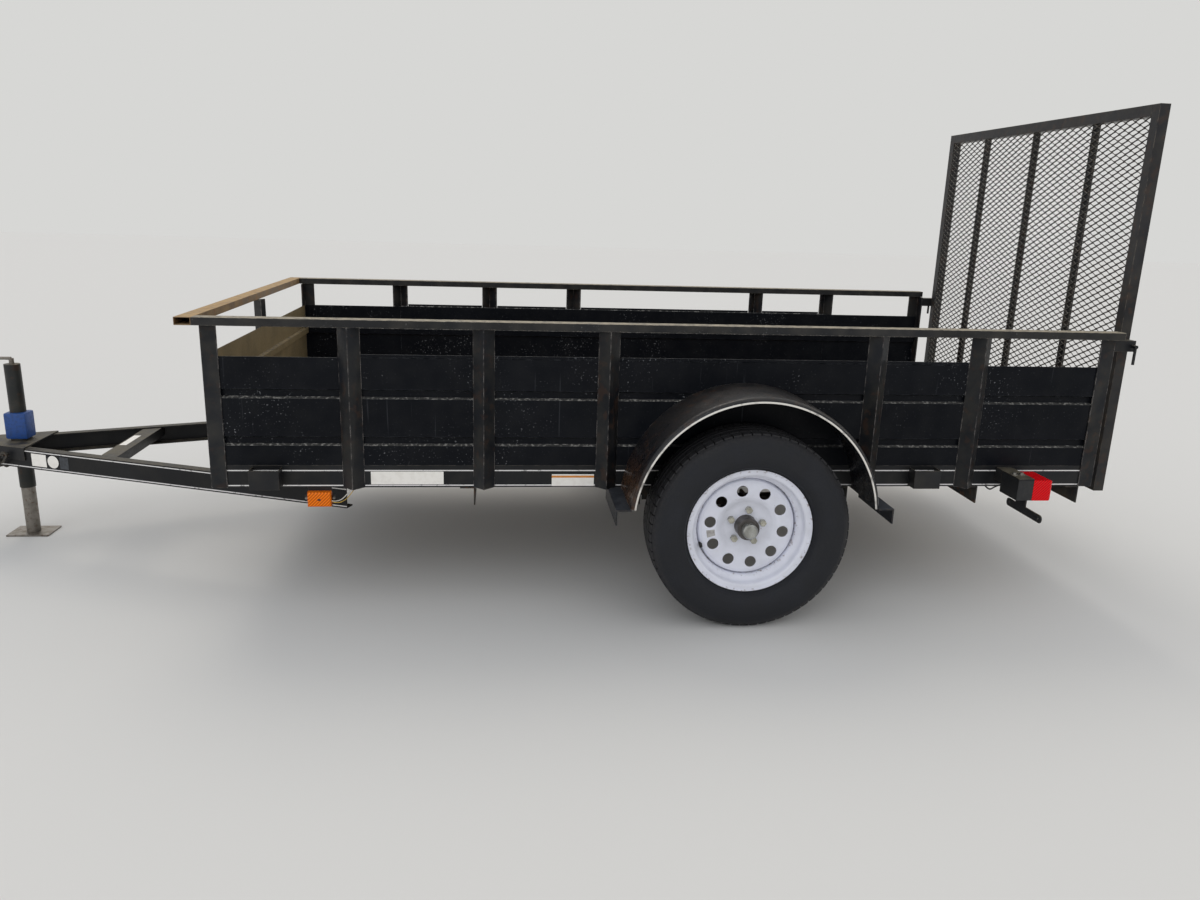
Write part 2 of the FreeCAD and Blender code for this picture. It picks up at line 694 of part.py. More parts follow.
def side_bolt(place, on_face, out):
    """Six-sided bolt through a place, from the face that holds a point, along its outward normal."""
    foot = place - out * (place - on_face).dot(out)
    points = []
    for k in range(6):
        turn = math.pi * k / 3
        points.append(foot + out.cross(V(0, 0, 1)) * (CHAIN_BOLT_RADIUS * math.cos(turn))
                      + V(0, 0, CHAIN_BOLT_RADIUS * math.sin(turn)))
    return plate(points).extrude(out * CHAIN_BOLT_LENGTH)


def safety_chains():
    """A chain on each side, hung from the coupler's rear corner to its nose, with the bolts."""
    z = TONGUE_TOP - CHAIN_BELOW_TOP
    reach = CHAIN_BOLT_RADIUS - LINK_SEAT
    rear_s, rear_y = tongue_point(CHAIN_ON_RAIL, COUPLER_PLATE + CHAIN_OUT)
    start = V(at(rear_s), rear_y, z)
    end = V(at(BALL_STATION + CHAIN_BEHIND_BALL), COUPLER_NOSE_RADIUS + CHAIN_OUT, z)
    corners = hanging(start, end, LINK_INSIDE + LINK_SEAT)
    flat = (end - start).normalize().cross(V(0, 0, 1))
    pieces = []
    for i, (a, b) in enumerate(zip(corners, corners[1:])):
        along = (b - a).normalize()
        wide = along.cross(flat) if i % 2 == 0 else flat
        pieces.append(chain_link((a + b) * 0.5, along, wide))
    first = (corners[1] - corners[0]).normalize()
    last = (corners[-2] - corners[-1]).normalize()
    rear_bolt, front_bolt = corners[0] + first * reach, corners[-1] + last * reach
    turn = math.radians(TONGUE_ANGLE)
    face_s, face_y = tongue_point(CHAIN_ON_RAIL, COUPLER_PLATE)
    pieces.append(side_bolt(rear_bolt, V(at(face_s), face_y, z), V(math.sin(turn), math.cos(turn), 0)))
    pieces.append(side_bolt(front_bolt, V(front_bolt.x, COUPLER_NOSE_RADIUS, z), V(0, 1, 0)))
    chain = pieces[0].fuse(pieces[1:]).removeSplitter()
    save("safety_chains", both([chain]))


def jack():
    """Tube through the coupler, its leg and foot, and the crank on top."""
    x = at(JACK_STATION)
    tube = rod(V(x, 0, JACK_TUBE_BOTTOM), V(x, 0, JACK_TUBE_TOP), JACK_TUBE_RADIUS)
    bore = JACK_LEG_RADIUS + JACK_LEG_CLEARANCE
    tube = tube.cut(rod(V(x, 0, JACK_TUBE_BOTTOM), V(x, 0, JACK_TUBE_TOP - JACK_FLANGE), bore))
    seat = TONGUE_TOP + COUPLER_PLATE
    flange = rod(V(x, 0, seat), V(x, 0, seat + JACK_FLANGE), JACK_FLANGE_RADIUS)
    flange = flange.cut(rod(V(x, 0, seat), V(x, 0, seat + JACK_FLANGE), JACK_TUBE_RADIUS))
    save("jack_tube", [tube.fuse(flange).removeSplitter()])
    leg = rod(V(x, 0, JACK_PLATE), V(x, 0, TONGUE_TOP), JACK_LEG_RADIUS)
    half_x, half_y = JACK_PLATE_LENGTH / 2, JACK_PLATE_WIDTH / 2
    foot = box((JACK_STATION - half_x, JACK_STATION + half_x), (-half_y, half_y), (0, JACK_PLATE))
    save("jack_leg", [leg.fuse(foot).removeSplitter()])
    end = x + CRANK_ARM
    level = JACK_TUBE_TOP + CRANK_RISE
    shaft = rod(V(x, 0, JACK_TUBE_TOP), V(x, 0, level), CRANK_SHAFT_RADIUS)
    arm = rod(V(x, 0, level), V(end, 0, level), CRANK_RADIUS)
    knob = rod(V(end, 0, level + CRANK_RADIUS), V(end, 0, level - CRANK_KNOB), CRANK_KNOB_RADIUS)
    save("jack_crank", [shaft.fuse(arm).fuse(knob).removeSplitter()])


def axle():
    """Square beam with a round spindle at each end."""
    half = AXLE_TUBE / 2
    end = WHEEL_PLANE - HUB_BACK - HUB_SEAL_GAP
    heights = (AXLE_HEIGHT - half, AXLE_HEIGHT + half)
    beam = box((AXLE_STATION - half, AXLE_STATION + half), (-end, end), heights)
    x = at(AXLE_STATION)
    tip = WHEEL_PLANE - HUB_SEAL_GAP
    spindle = rod(V(x, -tip, AXLE_HEIGHT), V(x, tip, AXLE_HEIGHT), SPINDLE_RADIUS)
    save("axle_beam", [beam.fuse(spindle).removeSplitter()])


def spring_base():
    """Underside of the spring pack over the axle."""
    return AXLE_HEIGHT + AXLE_TUBE / 2


def spring_radius():
    """Radius of the main leaf's top face."""
    return (SPRING_HALF_LENGTH ** 2 + SPRING_SAG ** 2) / (2 * SPRING_SAG)


def springs():
    """Stacked leaves over the axle, with an eye at each end of the main leaf."""
    radius = spring_radius()
    count = len(LEAF_SPANS)
    top_face = spring_base() + count * LEAF_THICKNESS
    x = at(AXLE_STATION)
    low_y = SPRING_PLANE - LEAF_WIDTH / 2
    pack = None
    for i, span in enumerate(LEAF_SPANS):
        inner = radius + i * LEAF_THICKNESS
        outer = inner + LEAF_THICKNESS
        turn = math.asin(SPRING_HALF_LENGTH * span / radius)
        centre_z = top_face + radius
        edges = []
        corners = {}
        for r in (inner, outer):
            for name, angle_ in (("a", -turn), ("m", 0.0), ("b", turn)):
                corners[r, name] = V(x + r * math.sin(angle_), low_y, centre_z - r * math.cos(angle_))
            edges.append(Part.Arc(corners[r, "a"], corners[r, "m"], corners[r, "b"]).toShape())
        edges.append(Part.LineSegment(corners[inner, "a"], corners[outer, "a"]).toShape())
        edges.append(Part.LineSegment(corners[inner, "b"], corners[outer, "b"]).toShape())
        leaf = Part.Face(Part.Wire(Part.__sortEdges__(edges))).extrude(V(0, LEAF_WIDTH, 0))
        pack = leaf if pack is None else pack.fuse(leaf)
    eye_z = top_face + SPRING_SAG - LEAF_THICKNESS / 2
    for side in (-1, 1):
        ex = x + side * SPRING_HALF_LENGTH
        eye = rod(V(ex, low_y, eye_z), V(ex, low_y + LEAF_WIDTH, eye_z), EYE_RADIUS)
        pack = pack.fuse(eye)
    for side in (-1, 1):
        ex = x + side * SPRING_HALF_LENGTH
        bolt = EYE_BOLT_RADIUS + EYE_BOLT_CLEARANCE
        pack = pack.cut(rod(V(ex, low_y, eye_z), V(ex, low_y + LEAF_WIDTH, eye_z), bolt))
    save("leaf_springs", both([pack.removeSplitter()]))
    return eye_z


def spring_hangers(eye_z):
    """Folded hanger under the rail at each spring eye, with its bolt."""
    gap = LEAF_WIDTH / 2 + HANGER_SIDE_GAP
    left = []
    for side in (-1, 1):
        s = AXLE_STATION + side * SPRING_HALF_LENGTH
        low = eye_z - EYE_RADIUS - HANGER_LIP
        widths = (SPRING_PLANE - gap - HANGER_WALL, SPRING_PLANE + gap + HANGER_WALL)
        half = HANGER_LENGTH / 2
        piece = box((s - half, s + half), widths, (low, RAIL_BOTTOM))
        slot = box((s - half, s + half), (SPRING_PLANE - gap, SPRING_PLANE + gap),
                   (low, RAIL_BOTTOM - HANGER_WALL))
        piece = piece.cut(slot)
        bolt = rod(V(at(s), widths[0] - EYE_BOLT_PROUD, eye_z), V(at(s), widths[1] + EYE_BOLT_PROUD, eye_z),
                   EYE_BOLT_RADIUS)
        left.append(piece.fuse(bolt).removeSplitter())
    save("spring_hangers", both(left))


def axle_clamps():
    """Tie plate under the axle and plate over the leaves, joined by four bolts."""
    base = AXLE_HEIGHT - AXLE_TUBE / 2
    top = spring_base() + len(LEAF_SPANS) * LEAF_THICKNESS
    half = CLAMP_LENGTH / 2
    reach = LEAF_WIDTH / 2 + 2 * U_BOLT_RADIUS + CLAMP_MARGIN
    widths = (SPRING_PLANE - reach, SPRING_PLANE + reach)
    stations = (AXLE_STATION - half, AXLE_STATION + half)
    clamp = box(stations, widths, (base - CLAMP_PLATE, base))
    bolt_s = AXLE_TUBE / 2 + U_BOLT_RADIUS + U_BOLT_GAP
    bolt_y = LEAF_WIDTH / 2 + U_BOLT_RADIUS + U_BOLT_GAP
    bridge_z = top + U_BOLT_RADIUS + U_BOLT_GAP
    for side_s in (-1, 1):
        for side_y in (-1, 1):
            x = at(AXLE_STATION + side_s * bolt_s)
            y = SPRING_PLANE + side_y * bolt_y
            clamp = clamp.fuse(rod(V(x, y, base - CLAMP_PLATE - U_BOLT_PROUD), V(x, y, bridge_z),
                                   U_BOLT_RADIUS))
        x = at(AXLE_STATION + side_s * bolt_s)
        clamp = clamp.fuse(rod(V(x, SPRING_PLANE - bolt_y, bridge_z),
                               V(x, SPRING_PLANE + bolt_y, bridge_z), U_BOLT_RADIUS))
    save("axle_clamps", both([clamp.removeSplitter()]))


def wheel_outline(points):
    """Corners given from the wheel plane outward, moved to the left wheel."""
    return [(WHEEL_PLANE + y, r) for y, r in points]


def tyre_outline():
    """Closed section of the tyre over the rim, its inner space filled."""
    half = [(BEAD_HALF_WIDTH, BEAD_RADIUS), (RIM_HALF_WIDTH - BEAD_GAP, RIM_LIP_RADIUS),
            (TYRE_HALF_WIDTH - BULGE_IN, TYRE_RADIUS - BULGE_DROP),
            (TYRE_HALF_WIDTH, TYRE_RADIUS - WALL_DROP),
            (TYRE_HALF_WIDTH - SHOULDER_IN, TYRE_RADIUS - SHOULDER_DROP),
            (TREAD_HALF_WIDTH, TYRE_RADIUS - TREAD_DROP), (CROWN_HALF_WIDTH, TYRE_RADIUS)]
    return half + [(-y, r) for y, r in reversed(half)]


def ringed(points, centre, strips):
    """Outline of (y, radius) corners carried round an axis along Y in even flat strips."""
    station, height = centre
    rings = []
    for i in range(strips):
        turn = 2 * math.pi * i / strips
        rings.append([V(at(station) + r * math.sin(turn), y, height - r * math.cos(turn))
                      for y, r in points])
    faces = []
    for i, ring in enumerate(rings):
        after = rings[(i + 1) % strips]
        for j in range(len(points)):
            k = (j + 1) % len(points)
            faces.append(plate([ring[j], after[j], after[k], ring[k]]))
    shell = Part.Shell(faces)
    shell.sewShape()
    solid = Part.Solid(Part.Shell(shell.Faces))
    if solid.Volume < 0:
        solid.reverse()
    return solid


def rim_outline():
    """Section of the rolled rim, from lip to lip over the well."""
    lip = RIM_HALF_WIDTH + RIM_LIP
    seat = BEAD_RADIUS - RIM_GAP
    side = [(lip, RIM_LIP_RADIUS - RIM_LIP_ROLL), (lip - RIM_WALL, RIM_LIP_RADIUS),
            (RIM_HALF_WIDTH, RIM_LIP_RADIUS - RIM_LIP_ROLL), (RIM_HALF_WIDTH, seat),
            (RIM_SEAT_INNER, seat), (RIM_WELL_HALF_WIDTH, RIM_WELL_RADIUS)]
    return strip(side + [(-y, r) for y, r in reversed(side)], -RIM_WALL)


def disc_outline():
    """Section of the pressed disc, from the hub to its skirt inside the rim's well."""
    well = RIM_WELL_RADIUS - RIM_WALL
    skirt = DISC_SEAT + DISC_WALL
    line = [(DISC_SEAT, HUB_RADIUS + DISC_BORE_CLEARANCE), (DISC_SEAT, DISC_SEAT_RADIUS),
            (DISC_FACE, DISC_FACE_INNER), (DISC_FACE, DISC_FACE_OUTER), (skirt, well),
            (skirt - DISC_SKIRT, well)]
    return strip(line, -DISC_WALL)


def around(circle, count, turn):
    """X and Z of evenly spaced places about the axle, the first at an angle above +X."""
    places = []
    for i in range(count):
        angle_ = math.radians(turn + 360.0 * i / count)
        places.append((at(AXLE_STATION) + circle * math.cos(angle_),
                       AXLE_HEIGHT + circle * math.sin(angle_)))
    return places


def wheels():
    """Tyre, steel wheel, hub, grease cap and nuts of each side."""
    hub_axis = (AXLE_STATION, AXLE_HEIGHT)
    x = at(AXLE_STATION)
    tyre = ringed(wheel_outline(tyre_outline()), hub_axis, TYRE_STRIPS)
    rim = spun(wheel_outline(rim_outline()), hub_axis)
    disc = spun(wheel_outline(disc_outline()), hub_axis)
    for hole_x, hole_z in around(DISC_HOLE_CIRCLE, DISC_HOLES, DISC_HOLE_TURN):
        disc = disc.cut(rod(V(hole_x, WHEEL_PLANE, hole_z), V(hole_x, WHEEL_PLANE + 2 * DISC_FACE, hole_z),
                            DISC_HOLE_RADIUS))
    rim = rim.fuse(disc).removeSplitter()
    front = DISC_SEAT + HUB_FRONT
    back = DISC_SEAT - DISC_WALL
    hub_line = [(-HUB_BACK, 0.0), (-HUB_BACK, HUB_RADIUS), (back - HUB_FLANGE, HUB_RADIUS),
                (back - HUB_FLANGE, HUB_FLANGE_RADIUS), (back, HUB_FLANGE_RADIUS), (back, HUB_RADIUS),
                (front - HUB_CHAMFER, HUB_RADIUS), (front, HUB_RADIUS - HUB_CHAMFER), (front, 0.0)]
    hub = spun(wheel_outline(hub_line), hub_axis)
    hub = hub.cut(rod(V(x, WHEEL_PLANE - HUB_BACK, AXLE_HEIGHT),
                      V(x, WHEEL_PLANE - HUB_SEAL_GAP + SPINDLE_END_GAP, AXLE_HEIGHT),
                      SPINDLE_RADIUS + SPINDLE_CLEARANCE))
    tip = front + CAP_LENGTH
    cap_line = [(front, 0.0), (front, CAP_RADIUS), (tip - CAP_CHAMFER, CAP_RADIUS),
                (tip, CAP_RADIUS - CAP_CHAMFER), (tip, 0.0)]
    cap = spun(wheel_outline(cap_line), hub_axis)
    nuts = []
    corner = NUT_FLATS / math.sqrt(3)
    for nut_x, nut_z in around(NUT_CIRCLE, NUT_COUNT, NUT_TURN):
        points = [V(nut_x + corner * math.cos(a), WHEEL_PLANE + DISC_SEAT, nut_z + corner * math.sin(a))
                  for a in (math.pi * k / 3 for k in range(6))]
        nuts.append(plate(points).extrude(V(0, NUT_LENGTH, 0)))
    pieces = {"tyre": [tyre], "rim": [rim], "hub": [hub], "grease_cap": [cap], "wheel_nuts": nuts}
    for name, shapes in pieces.items():
        save(name + "_left", shapes)
        save(name + "_right", [mirrored(s) for s in shapes])


def fenders():
    """Rolled sheet arches with a turned-down outer edge, on an angle at each end."""
    x = at(FENDER_STATION)
    inner, outer = BED_HALF_WIDTH, FENDER_OUTER
    turn_y = outer - FENDER_ROLL
    top, under = FENDER_RADIUS, FENDER_RADIUS - FENDER_SHEET
    roll_r = FENDER_RADIUS - FENDER_ROLL

    def corner(y, r):
        return V(x, y, FENDER_CENTRE_Z + r)

    def roll(radius):
        along = radius * math.sqrt(0.5)
        return Part.Arc(corner(turn_y, roll_r + radius), corner(turn_y + along, roll_r + along),
                        corner(turn_y + radius, roll_r)).toShape()

    edges = [Part.LineSegment(corner(inner, top), corner(turn_y, top)).toShape(),
             roll(FENDER_ROLL),
             Part.LineSegment(corner(outer, roll_r), corner(outer - FENDER_SHEET, roll_r)).toShape(),
             roll(FENDER_ROLL - FENDER_SHEET),
             Part.LineSegment(corner(turn_y, under), corner(inner, under)).toShape(),
             Part.LineSegment(corner(inner, under), corner(inner, top)).toShape()]
    section = Part.Face(Part.Wire(edges))
    sweep = 90.0 + FENDER_SPARE_TURN
    centre = V(x, 0, FENDER_CENTRE_Z)
    arch = section.revolve(centre, V(0, 1, 0), sweep).fuse(section.revolve(centre, V(0, 1, 0), -sweep))
    below = box((FENDER_STATION - 2 * top, FENDER_STATION + 2 * top), (inner, outer),
                (FENDER_CENTRE_Z - top, RAIL_BOTTOM))
    arch = arch.cut(below).removeSplitter()
    save("fender_left", [arch])
    save("fender_right", [mirrored(arch)])
    low_y = BED_HALF_WIDTH - BRACKET_UNDER_RAIL
    left = []
    for side in (-1, 1):
        heel = FENDER_STATION + side * BRACKET_HEEL
        toe = heel - side * BRACKET_LEG
        wall = heel - side * BRACKET_WALL
        outline = [(toe, RAIL_BOTTOM), (heel, RAIL_BOTTOM), (heel, RAIL_BOTTOM - BRACKET_LEG),
                   (wall, RAIL_BOTTOM - BRACKET_LEG), (wall, RAIL_BOTTOM - BRACKET_WALL),
                   (toe, RAIL_BOTTOM - BRACKET_WALL)]
        left.append(across(outline, low_y, outer))
    save("fender_brackets", both(left))


def gate_hinges():
    """Lugs on the rear rail, and the barrels with their pins on the gate."""
    lugs, barrels = [], []
    pin = V(at(PIN_STATION), 0, PIN_HEIGHT)
    for y in HINGE_POSITIONS:
        half = BARREL_LENGTH / 2
        for side in (-1, 1):
            low = y + side * (half + LUG_GAP) - (LUG_PLATE if side < 0 else 0)
            lug = across([(BED_LENGTH, RAIL_BOTTOM + LUG_ON_RAIL), (BED_LENGTH, RAIL_BOTTOM),
                          (PIN_STATION, PIN_HEIGHT - LUG_HALF_HEIGHT),
                          (PIN_STATION, PIN_HEIGHT + LUG_HALF_HEIGHT)], low, low + LUG_PLATE)
            eye = Part.makeCylinder(BARREL_RADIUS, LUG_PLATE, V(pin.x, low, pin.z), V(0, 1, 0))
            hole = Part.makeCylinder(PIN_RADIUS + PIN_CLEARANCE, LUG_PLATE, V(pin.x, low, pin.z),
                                     V(0, 1, 0))
            lugs.append(lug.fuse(eye).cut(hole).removeSplitter())
        barrel = Part.makeCylinder(BARREL_RADIUS - LUG_GAP, BARREL_LENGTH, V(pin.x, y - half, pin.z),
                                   V(0, 1, 0))
        reach = half + LUG_GAP + LUG_PLATE + PIN_PROUD
        bar = Part.makeCylinder(PIN_RADIUS, 2 * reach, V(pin.x, y - reach, pin.z), V(0, 1, 0))
        saddle = box((PIN_STATION, GATE_FRONT), (y - half, y + half),
                     (GATE_BOTTOM, PIN_HEIGHT + BARREL_RADIUS - SADDLE_STEP))
        barrels.append(barrel.fuse(bar).fuse(saddle).removeSplitter())
    save("hinge_lugs", lugs)
    save("gate_hinges", barrels)


def gate():
    """Ramp gate: tube frame, three bars behind a mesh."""
    depth = (GATE_FRONT, GATE_REAR)
    outer, inner = GATE_HALF_WIDTH, GATE_HALF_WIDTH - GATE_TUBE
    side = hollow(depth, (inner, outer), (GATE_BOTTOM, GATE_TOP), GATE_WALL, "z")
    save("gate_uprights", both([side]))
    top = hollow(depth, (-inner, inner), (GATE_TOP - GATE_TUBE, GATE_TOP), GATE_WALL, "y")
    bottom = hollow(depth, (-inner, inner), (GATE_BOTTOM, GATE_BOTTOM + GATE_TUBE), GATE_WALL, "y")
    save("gate_crossbars", [top, bottom])
    low, high = GATE_BOTTOM + GATE_TUBE, GATE_TOP - GATE_TUBE
    back_of_mesh = GATE_FRONT + MESH_INSET + MESH_THICKNESS
    half = GATE_TUBE / 2
    bars = []
    for y in GATE_BARS:
        outline = [(back_of_mesh, y - half), (back_of_mesh, y + half),
                   (back_of_mesh + GATE_WALL, y + half), (back_of_mesh + GATE_WALL, y - half + GATE_WALL),
                   (GATE_REAR, y - half + GATE_WALL), (GATE_REAR, y - half)]
        bars.append(upright(outline, low, high))
    save("gate_bars", bars)
    face = plate([V(at(GATE_FRONT + MESH_INSET), y, z)
                  for y, z in ((-inner, low), (inner, low), (inner, high), (-inner, high))])
    holes = mesh_holes(inner, low, high)
    mesh = Part.Face([face.OuterWire] + holes).extrude(V(-MESH_THICKNESS, 0, 0))
    save("gate_mesh", [mesh])


def mesh_holes(half_width, low, high):
    """Diamond openings of the expanded mesh, in staggered rows."""
    x = at(GATE_FRONT + MESH_INSET)
    width, height = 2 * (half_width - MESH_BORDER), high - low - 2 * MESH_BORDER
    columns = int(width // MESH_PITCH_Y)
    rows = int(height // MESH_PITCH_Z)
    pitch_y, pitch_z = width / columns, height / rows
    open_y, open_z = pitch_y / 2 - MESH_STRAND, pitch_z / 2 - MESH_STRAND / 2
    wires = []
    for row in range(2 * rows - 1):
        shift = 0.5 if row % 2 == 0 else 1.0
        count = columns if row % 2 == 0 else columns - 1
        z = low + MESH_BORDER + (row + 1) * pitch_z / 2
        for column in range(count):
            y = -half_width + MESH_BORDER + (column + shift) * pitch_y
            corners = [V(x, y - open_y, z), V(x, y, z - open_z), V(x, y + open_y, z),
                       V(x, y, z + open_z)]
            wires.append(Part.makePolygon(corners + corners[:1]))
    return wires


def gate_keepers():
    """Tube stub behind each rear post, with the latch pin and its hanging handle."""
    low_y = GATE_HALF_WIDTH + KEEPER_GAP
    front, rear = BED_LENGTH, BED_LENGTH + KEEPER_LENGTH
    stub = hollow((front, rear), (low_y, low_y + KEEPER_SIZE), (KEEPER_TOP - KEEPER_SIZE, KEEPER_TOP),
                  KEEPER_WALL, "x")
    z = KEEPER_TOP - KEEPER_SIZE / 2
    x = at(GATE_FRONT + GATE_TUBE / 2)
    out = low_y + KEEPER_SIZE
    reach = out + KEEPER_HANDLE_OUT
    pin = rod(V(x, low_y, z), V(x, reach, z), KEEPER_PIN_RADIUS)
    handle = rod(V(x, reach - KEEPER_PIN_RADIUS, z), V(x, reach - KEEPER_PIN_RADIUS, z - KEEPER_HANDLE_DROP),
                 KEEPER_HANDLE_RADIUS)
    save("gate_keepers", both([stub.fuse(pin).fuse(handle).removeSplitter()]))


def lamps():
    """Tail lamps on their arms, the licence-plate bar and the side markers."""
    low_y = LAMP_OUTER - LAMP_WIDTH
    s = LAMP_STATION
    widths = (low_y, LAMP_OUTER)
    under_arm = LAMP_TOP - ARM_PLATE
    arm = box((s, s + LAMP_BODY), (BED_HALF_WIDTH, LAMP_OUTER), (under_arm, LAMP_TOP))
    web = box((s, s + ARM_PLATE), (BED_HALF_WIDTH, low_y), (under_arm - ARM_WEB, under_arm))
    heights = (under_arm - LAMP_HEIGHT, under_arm)
    save("lamp_bodies", both([box((s, s + LAMP_BODY), widths, heights)]))
    lens = box((s + LAMP_BODY, s + LAMP_BODY + LAMP_LENS), widths, heights)
    rear_x = at(s + LAMP_BODY + LAMP_LENS)
    edges = [e for e in lens.Edges if all(abs(v.X - rear_x) < 0.01 for v in e.Vertexes)]
    save("lamp_lenses", both([lens.makeFillet(LAMP_LENS_ROUND, edges)]))
    half = PLATE_BAR_LENGTH / 2
    bar_s = (s + LAMP_BODY - ARM_PLATE, s + LAMP_BODY)
    low = PLATE_BAR_TOP - PLATE_BAR_HEIGHT
    bar = box(bar_s, (PLATE_BAR_CENTRE - half, PLATE_BAR_CENTRE + half), (low, PLATE_BAR_TOP))
    corners = [e for e in bar.Edges if abs(e.Vertexes[0].X - e.Vertexes[1].X) > ARM_PLATE / 2]
    bar = bar.makeFillet(PLATE_BAR_ROUND, corners)
    stem_y = (low_y + LAMP_OUTER - STEM_WIDTH) / 2
    stem = box(bar_s, (stem_y, stem_y + STEM_WIDTH), (PLATE_BAR_TOP, heights[0]))
    bar = bar.fuse(stem)
    for side in (-1, 1):
        y = PLATE_BAR_CENTRE + side * PLATE_HOLE_SPACING / 2
        z = (low + PLATE_BAR_TOP) / 2
        bar = bar.cut(rod(V(at(bar_s[0]), y, z), V(at(bar_s[1]), y, z), PLATE_HOLE_RADIUS))
    save("plate_bar", [bar.removeSplitter()])
    m = MARKER_FROM_FRONT
    face = BED_HALF_WIDTH
    tab = box((m, m + MARKER_LENGTH), (face - RAIL_WALL - PLANK_GAP, face - RAIL_WALL),
              (RAIL_BOTTOM - MARKER_DROP - MARKER_HEIGHT, RAIL_BOTTOM + MARKER_DROP))
    lamp_top = RAIL_BOTTOM - MARKER_DROP
    inner = face - RAIL_WALL
    lens = box((m, m + MARKER_LENGTH), (inner, inner + MARKER_DEPTH),
               (lamp_top - MARKER_HEIGHT, lamp_top))
    edges = [e for e in lens.Edges if all(abs(v.Y - inner - MARKER_DEPTH) < 0.01 for v in e.Vertexes)]
    save("side_markers", both([lens.makeFillet(MARKER_DEPTH / 4, edges)]))
    save("lamp_mounts", both([arm.fuse(web).removeSplitter(), tab]))


def main():
    """Build every piece of the trailer."""
    frame_rails()
    cross_members()
    deck()
    walls()
    posts()
    top_rails()
    stake_pockets()
    tongue()
    coupler()
    safety_chains()
    jack()
    axle()
    spring_hangers(springs())
    axle_clamps()
    wheels()
    fenders()
    gate_hinges()
    gate()
    gate_keepers()
    lamps()


main()
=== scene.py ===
"""Finishes and fine detail of a steel-sided utility trailer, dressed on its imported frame."""

import logging
import math
from dataclasses import dataclass, field
from enum import Enum
from typing import Iterable, Sequence

import bmesh
import bpy
from mathutils import Matrix, Vector

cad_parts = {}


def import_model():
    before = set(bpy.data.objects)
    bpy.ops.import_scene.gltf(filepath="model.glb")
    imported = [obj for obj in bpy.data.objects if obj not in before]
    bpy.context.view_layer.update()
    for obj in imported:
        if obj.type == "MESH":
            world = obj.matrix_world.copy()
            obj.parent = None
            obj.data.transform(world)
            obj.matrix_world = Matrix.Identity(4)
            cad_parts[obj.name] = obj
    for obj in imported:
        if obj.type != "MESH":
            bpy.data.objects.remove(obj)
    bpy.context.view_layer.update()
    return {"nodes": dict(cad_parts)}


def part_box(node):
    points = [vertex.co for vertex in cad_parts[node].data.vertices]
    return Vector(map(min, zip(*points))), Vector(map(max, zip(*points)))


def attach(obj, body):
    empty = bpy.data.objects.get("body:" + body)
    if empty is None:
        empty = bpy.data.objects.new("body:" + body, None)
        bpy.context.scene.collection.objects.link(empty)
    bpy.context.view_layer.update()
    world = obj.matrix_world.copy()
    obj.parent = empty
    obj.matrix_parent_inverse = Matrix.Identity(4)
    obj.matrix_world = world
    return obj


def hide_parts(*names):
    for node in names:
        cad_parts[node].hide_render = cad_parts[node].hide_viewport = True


LOG = logging.getLogger("trailer")
MM = 0.001
Pair = tuple[float, float]
Triple = tuple[float, float, float]
Spot = tuple[Triple, Triple]
UPWARD: Triple = (0.0, 0.0, 1.0)
# Settings of the nodes that the finishes use most
TIMES = {"operation": "MULTIPLY"}
SMOOTH = {"interpolation_type": "SMOOTHSTEP"}


class Side(Enum):
    """The two sides of the trailer, by the sign of Y."""

    LEFT = 1
    RIGHT = -1

    @property
    def word(self) -> str:
        """The side's name as the nodes spell it."""
        return self.name.lower()


class Body(Enum):
    """The moving bodies of the trailer."""

    CHASSIS = "chassis"
    GATE = "gate"
    WHEEL_LEFT = "wheel_left"
    WHEEL_RIGHT = "wheel_right"


def linear(hex_colour: str) -> tuple[float, float, float, float]:
    """Turn an sRGB hex colour into linear light.

    Args:
        hex_colour: Colour such as "#1A1B1E".

    Returns:
        Linear red, green, blue and an alpha of one.
    """
    shares = [int(hex_colour[i:i + 2], 16) / 255 for i in (1, 3, 5)]
    red, green, blue = [c / 12.92 if c <= 0.04045 else ((c + 0.055) / 1.055) ** 2.4 for c in shares]
    return red, green, blue, 1.0


def add(tree: bpy.types.NodeTree, kind: str, settings: dict | None = None,
        inputs: dict | Sequence | None = None) -> bpy.types.Node:
    """Add a node with its settings and links.

    Args:
        tree: Shader or geometry tree that gets the node.
        kind: Blender's name of the node type.
        settings: Settings of the node itself.
        inputs: Constants and output sockets, in the order of the node's inputs, or by name or number.

    Returns:
        The new node.
    """
    node = tree.nodes.new(kind)
    for key, value in (settings or {}).items():
        setattr(node, key, value)
    for key, value in inputs.items() if isinstance(inputs, dict) else enumerate(inputs or ()):
        if isinstance(value, bpy.types.NodeSocket):
            tree.links.new(value, node.inputs[key])
        else:
            node.inputs[key].default_value = value
    return node


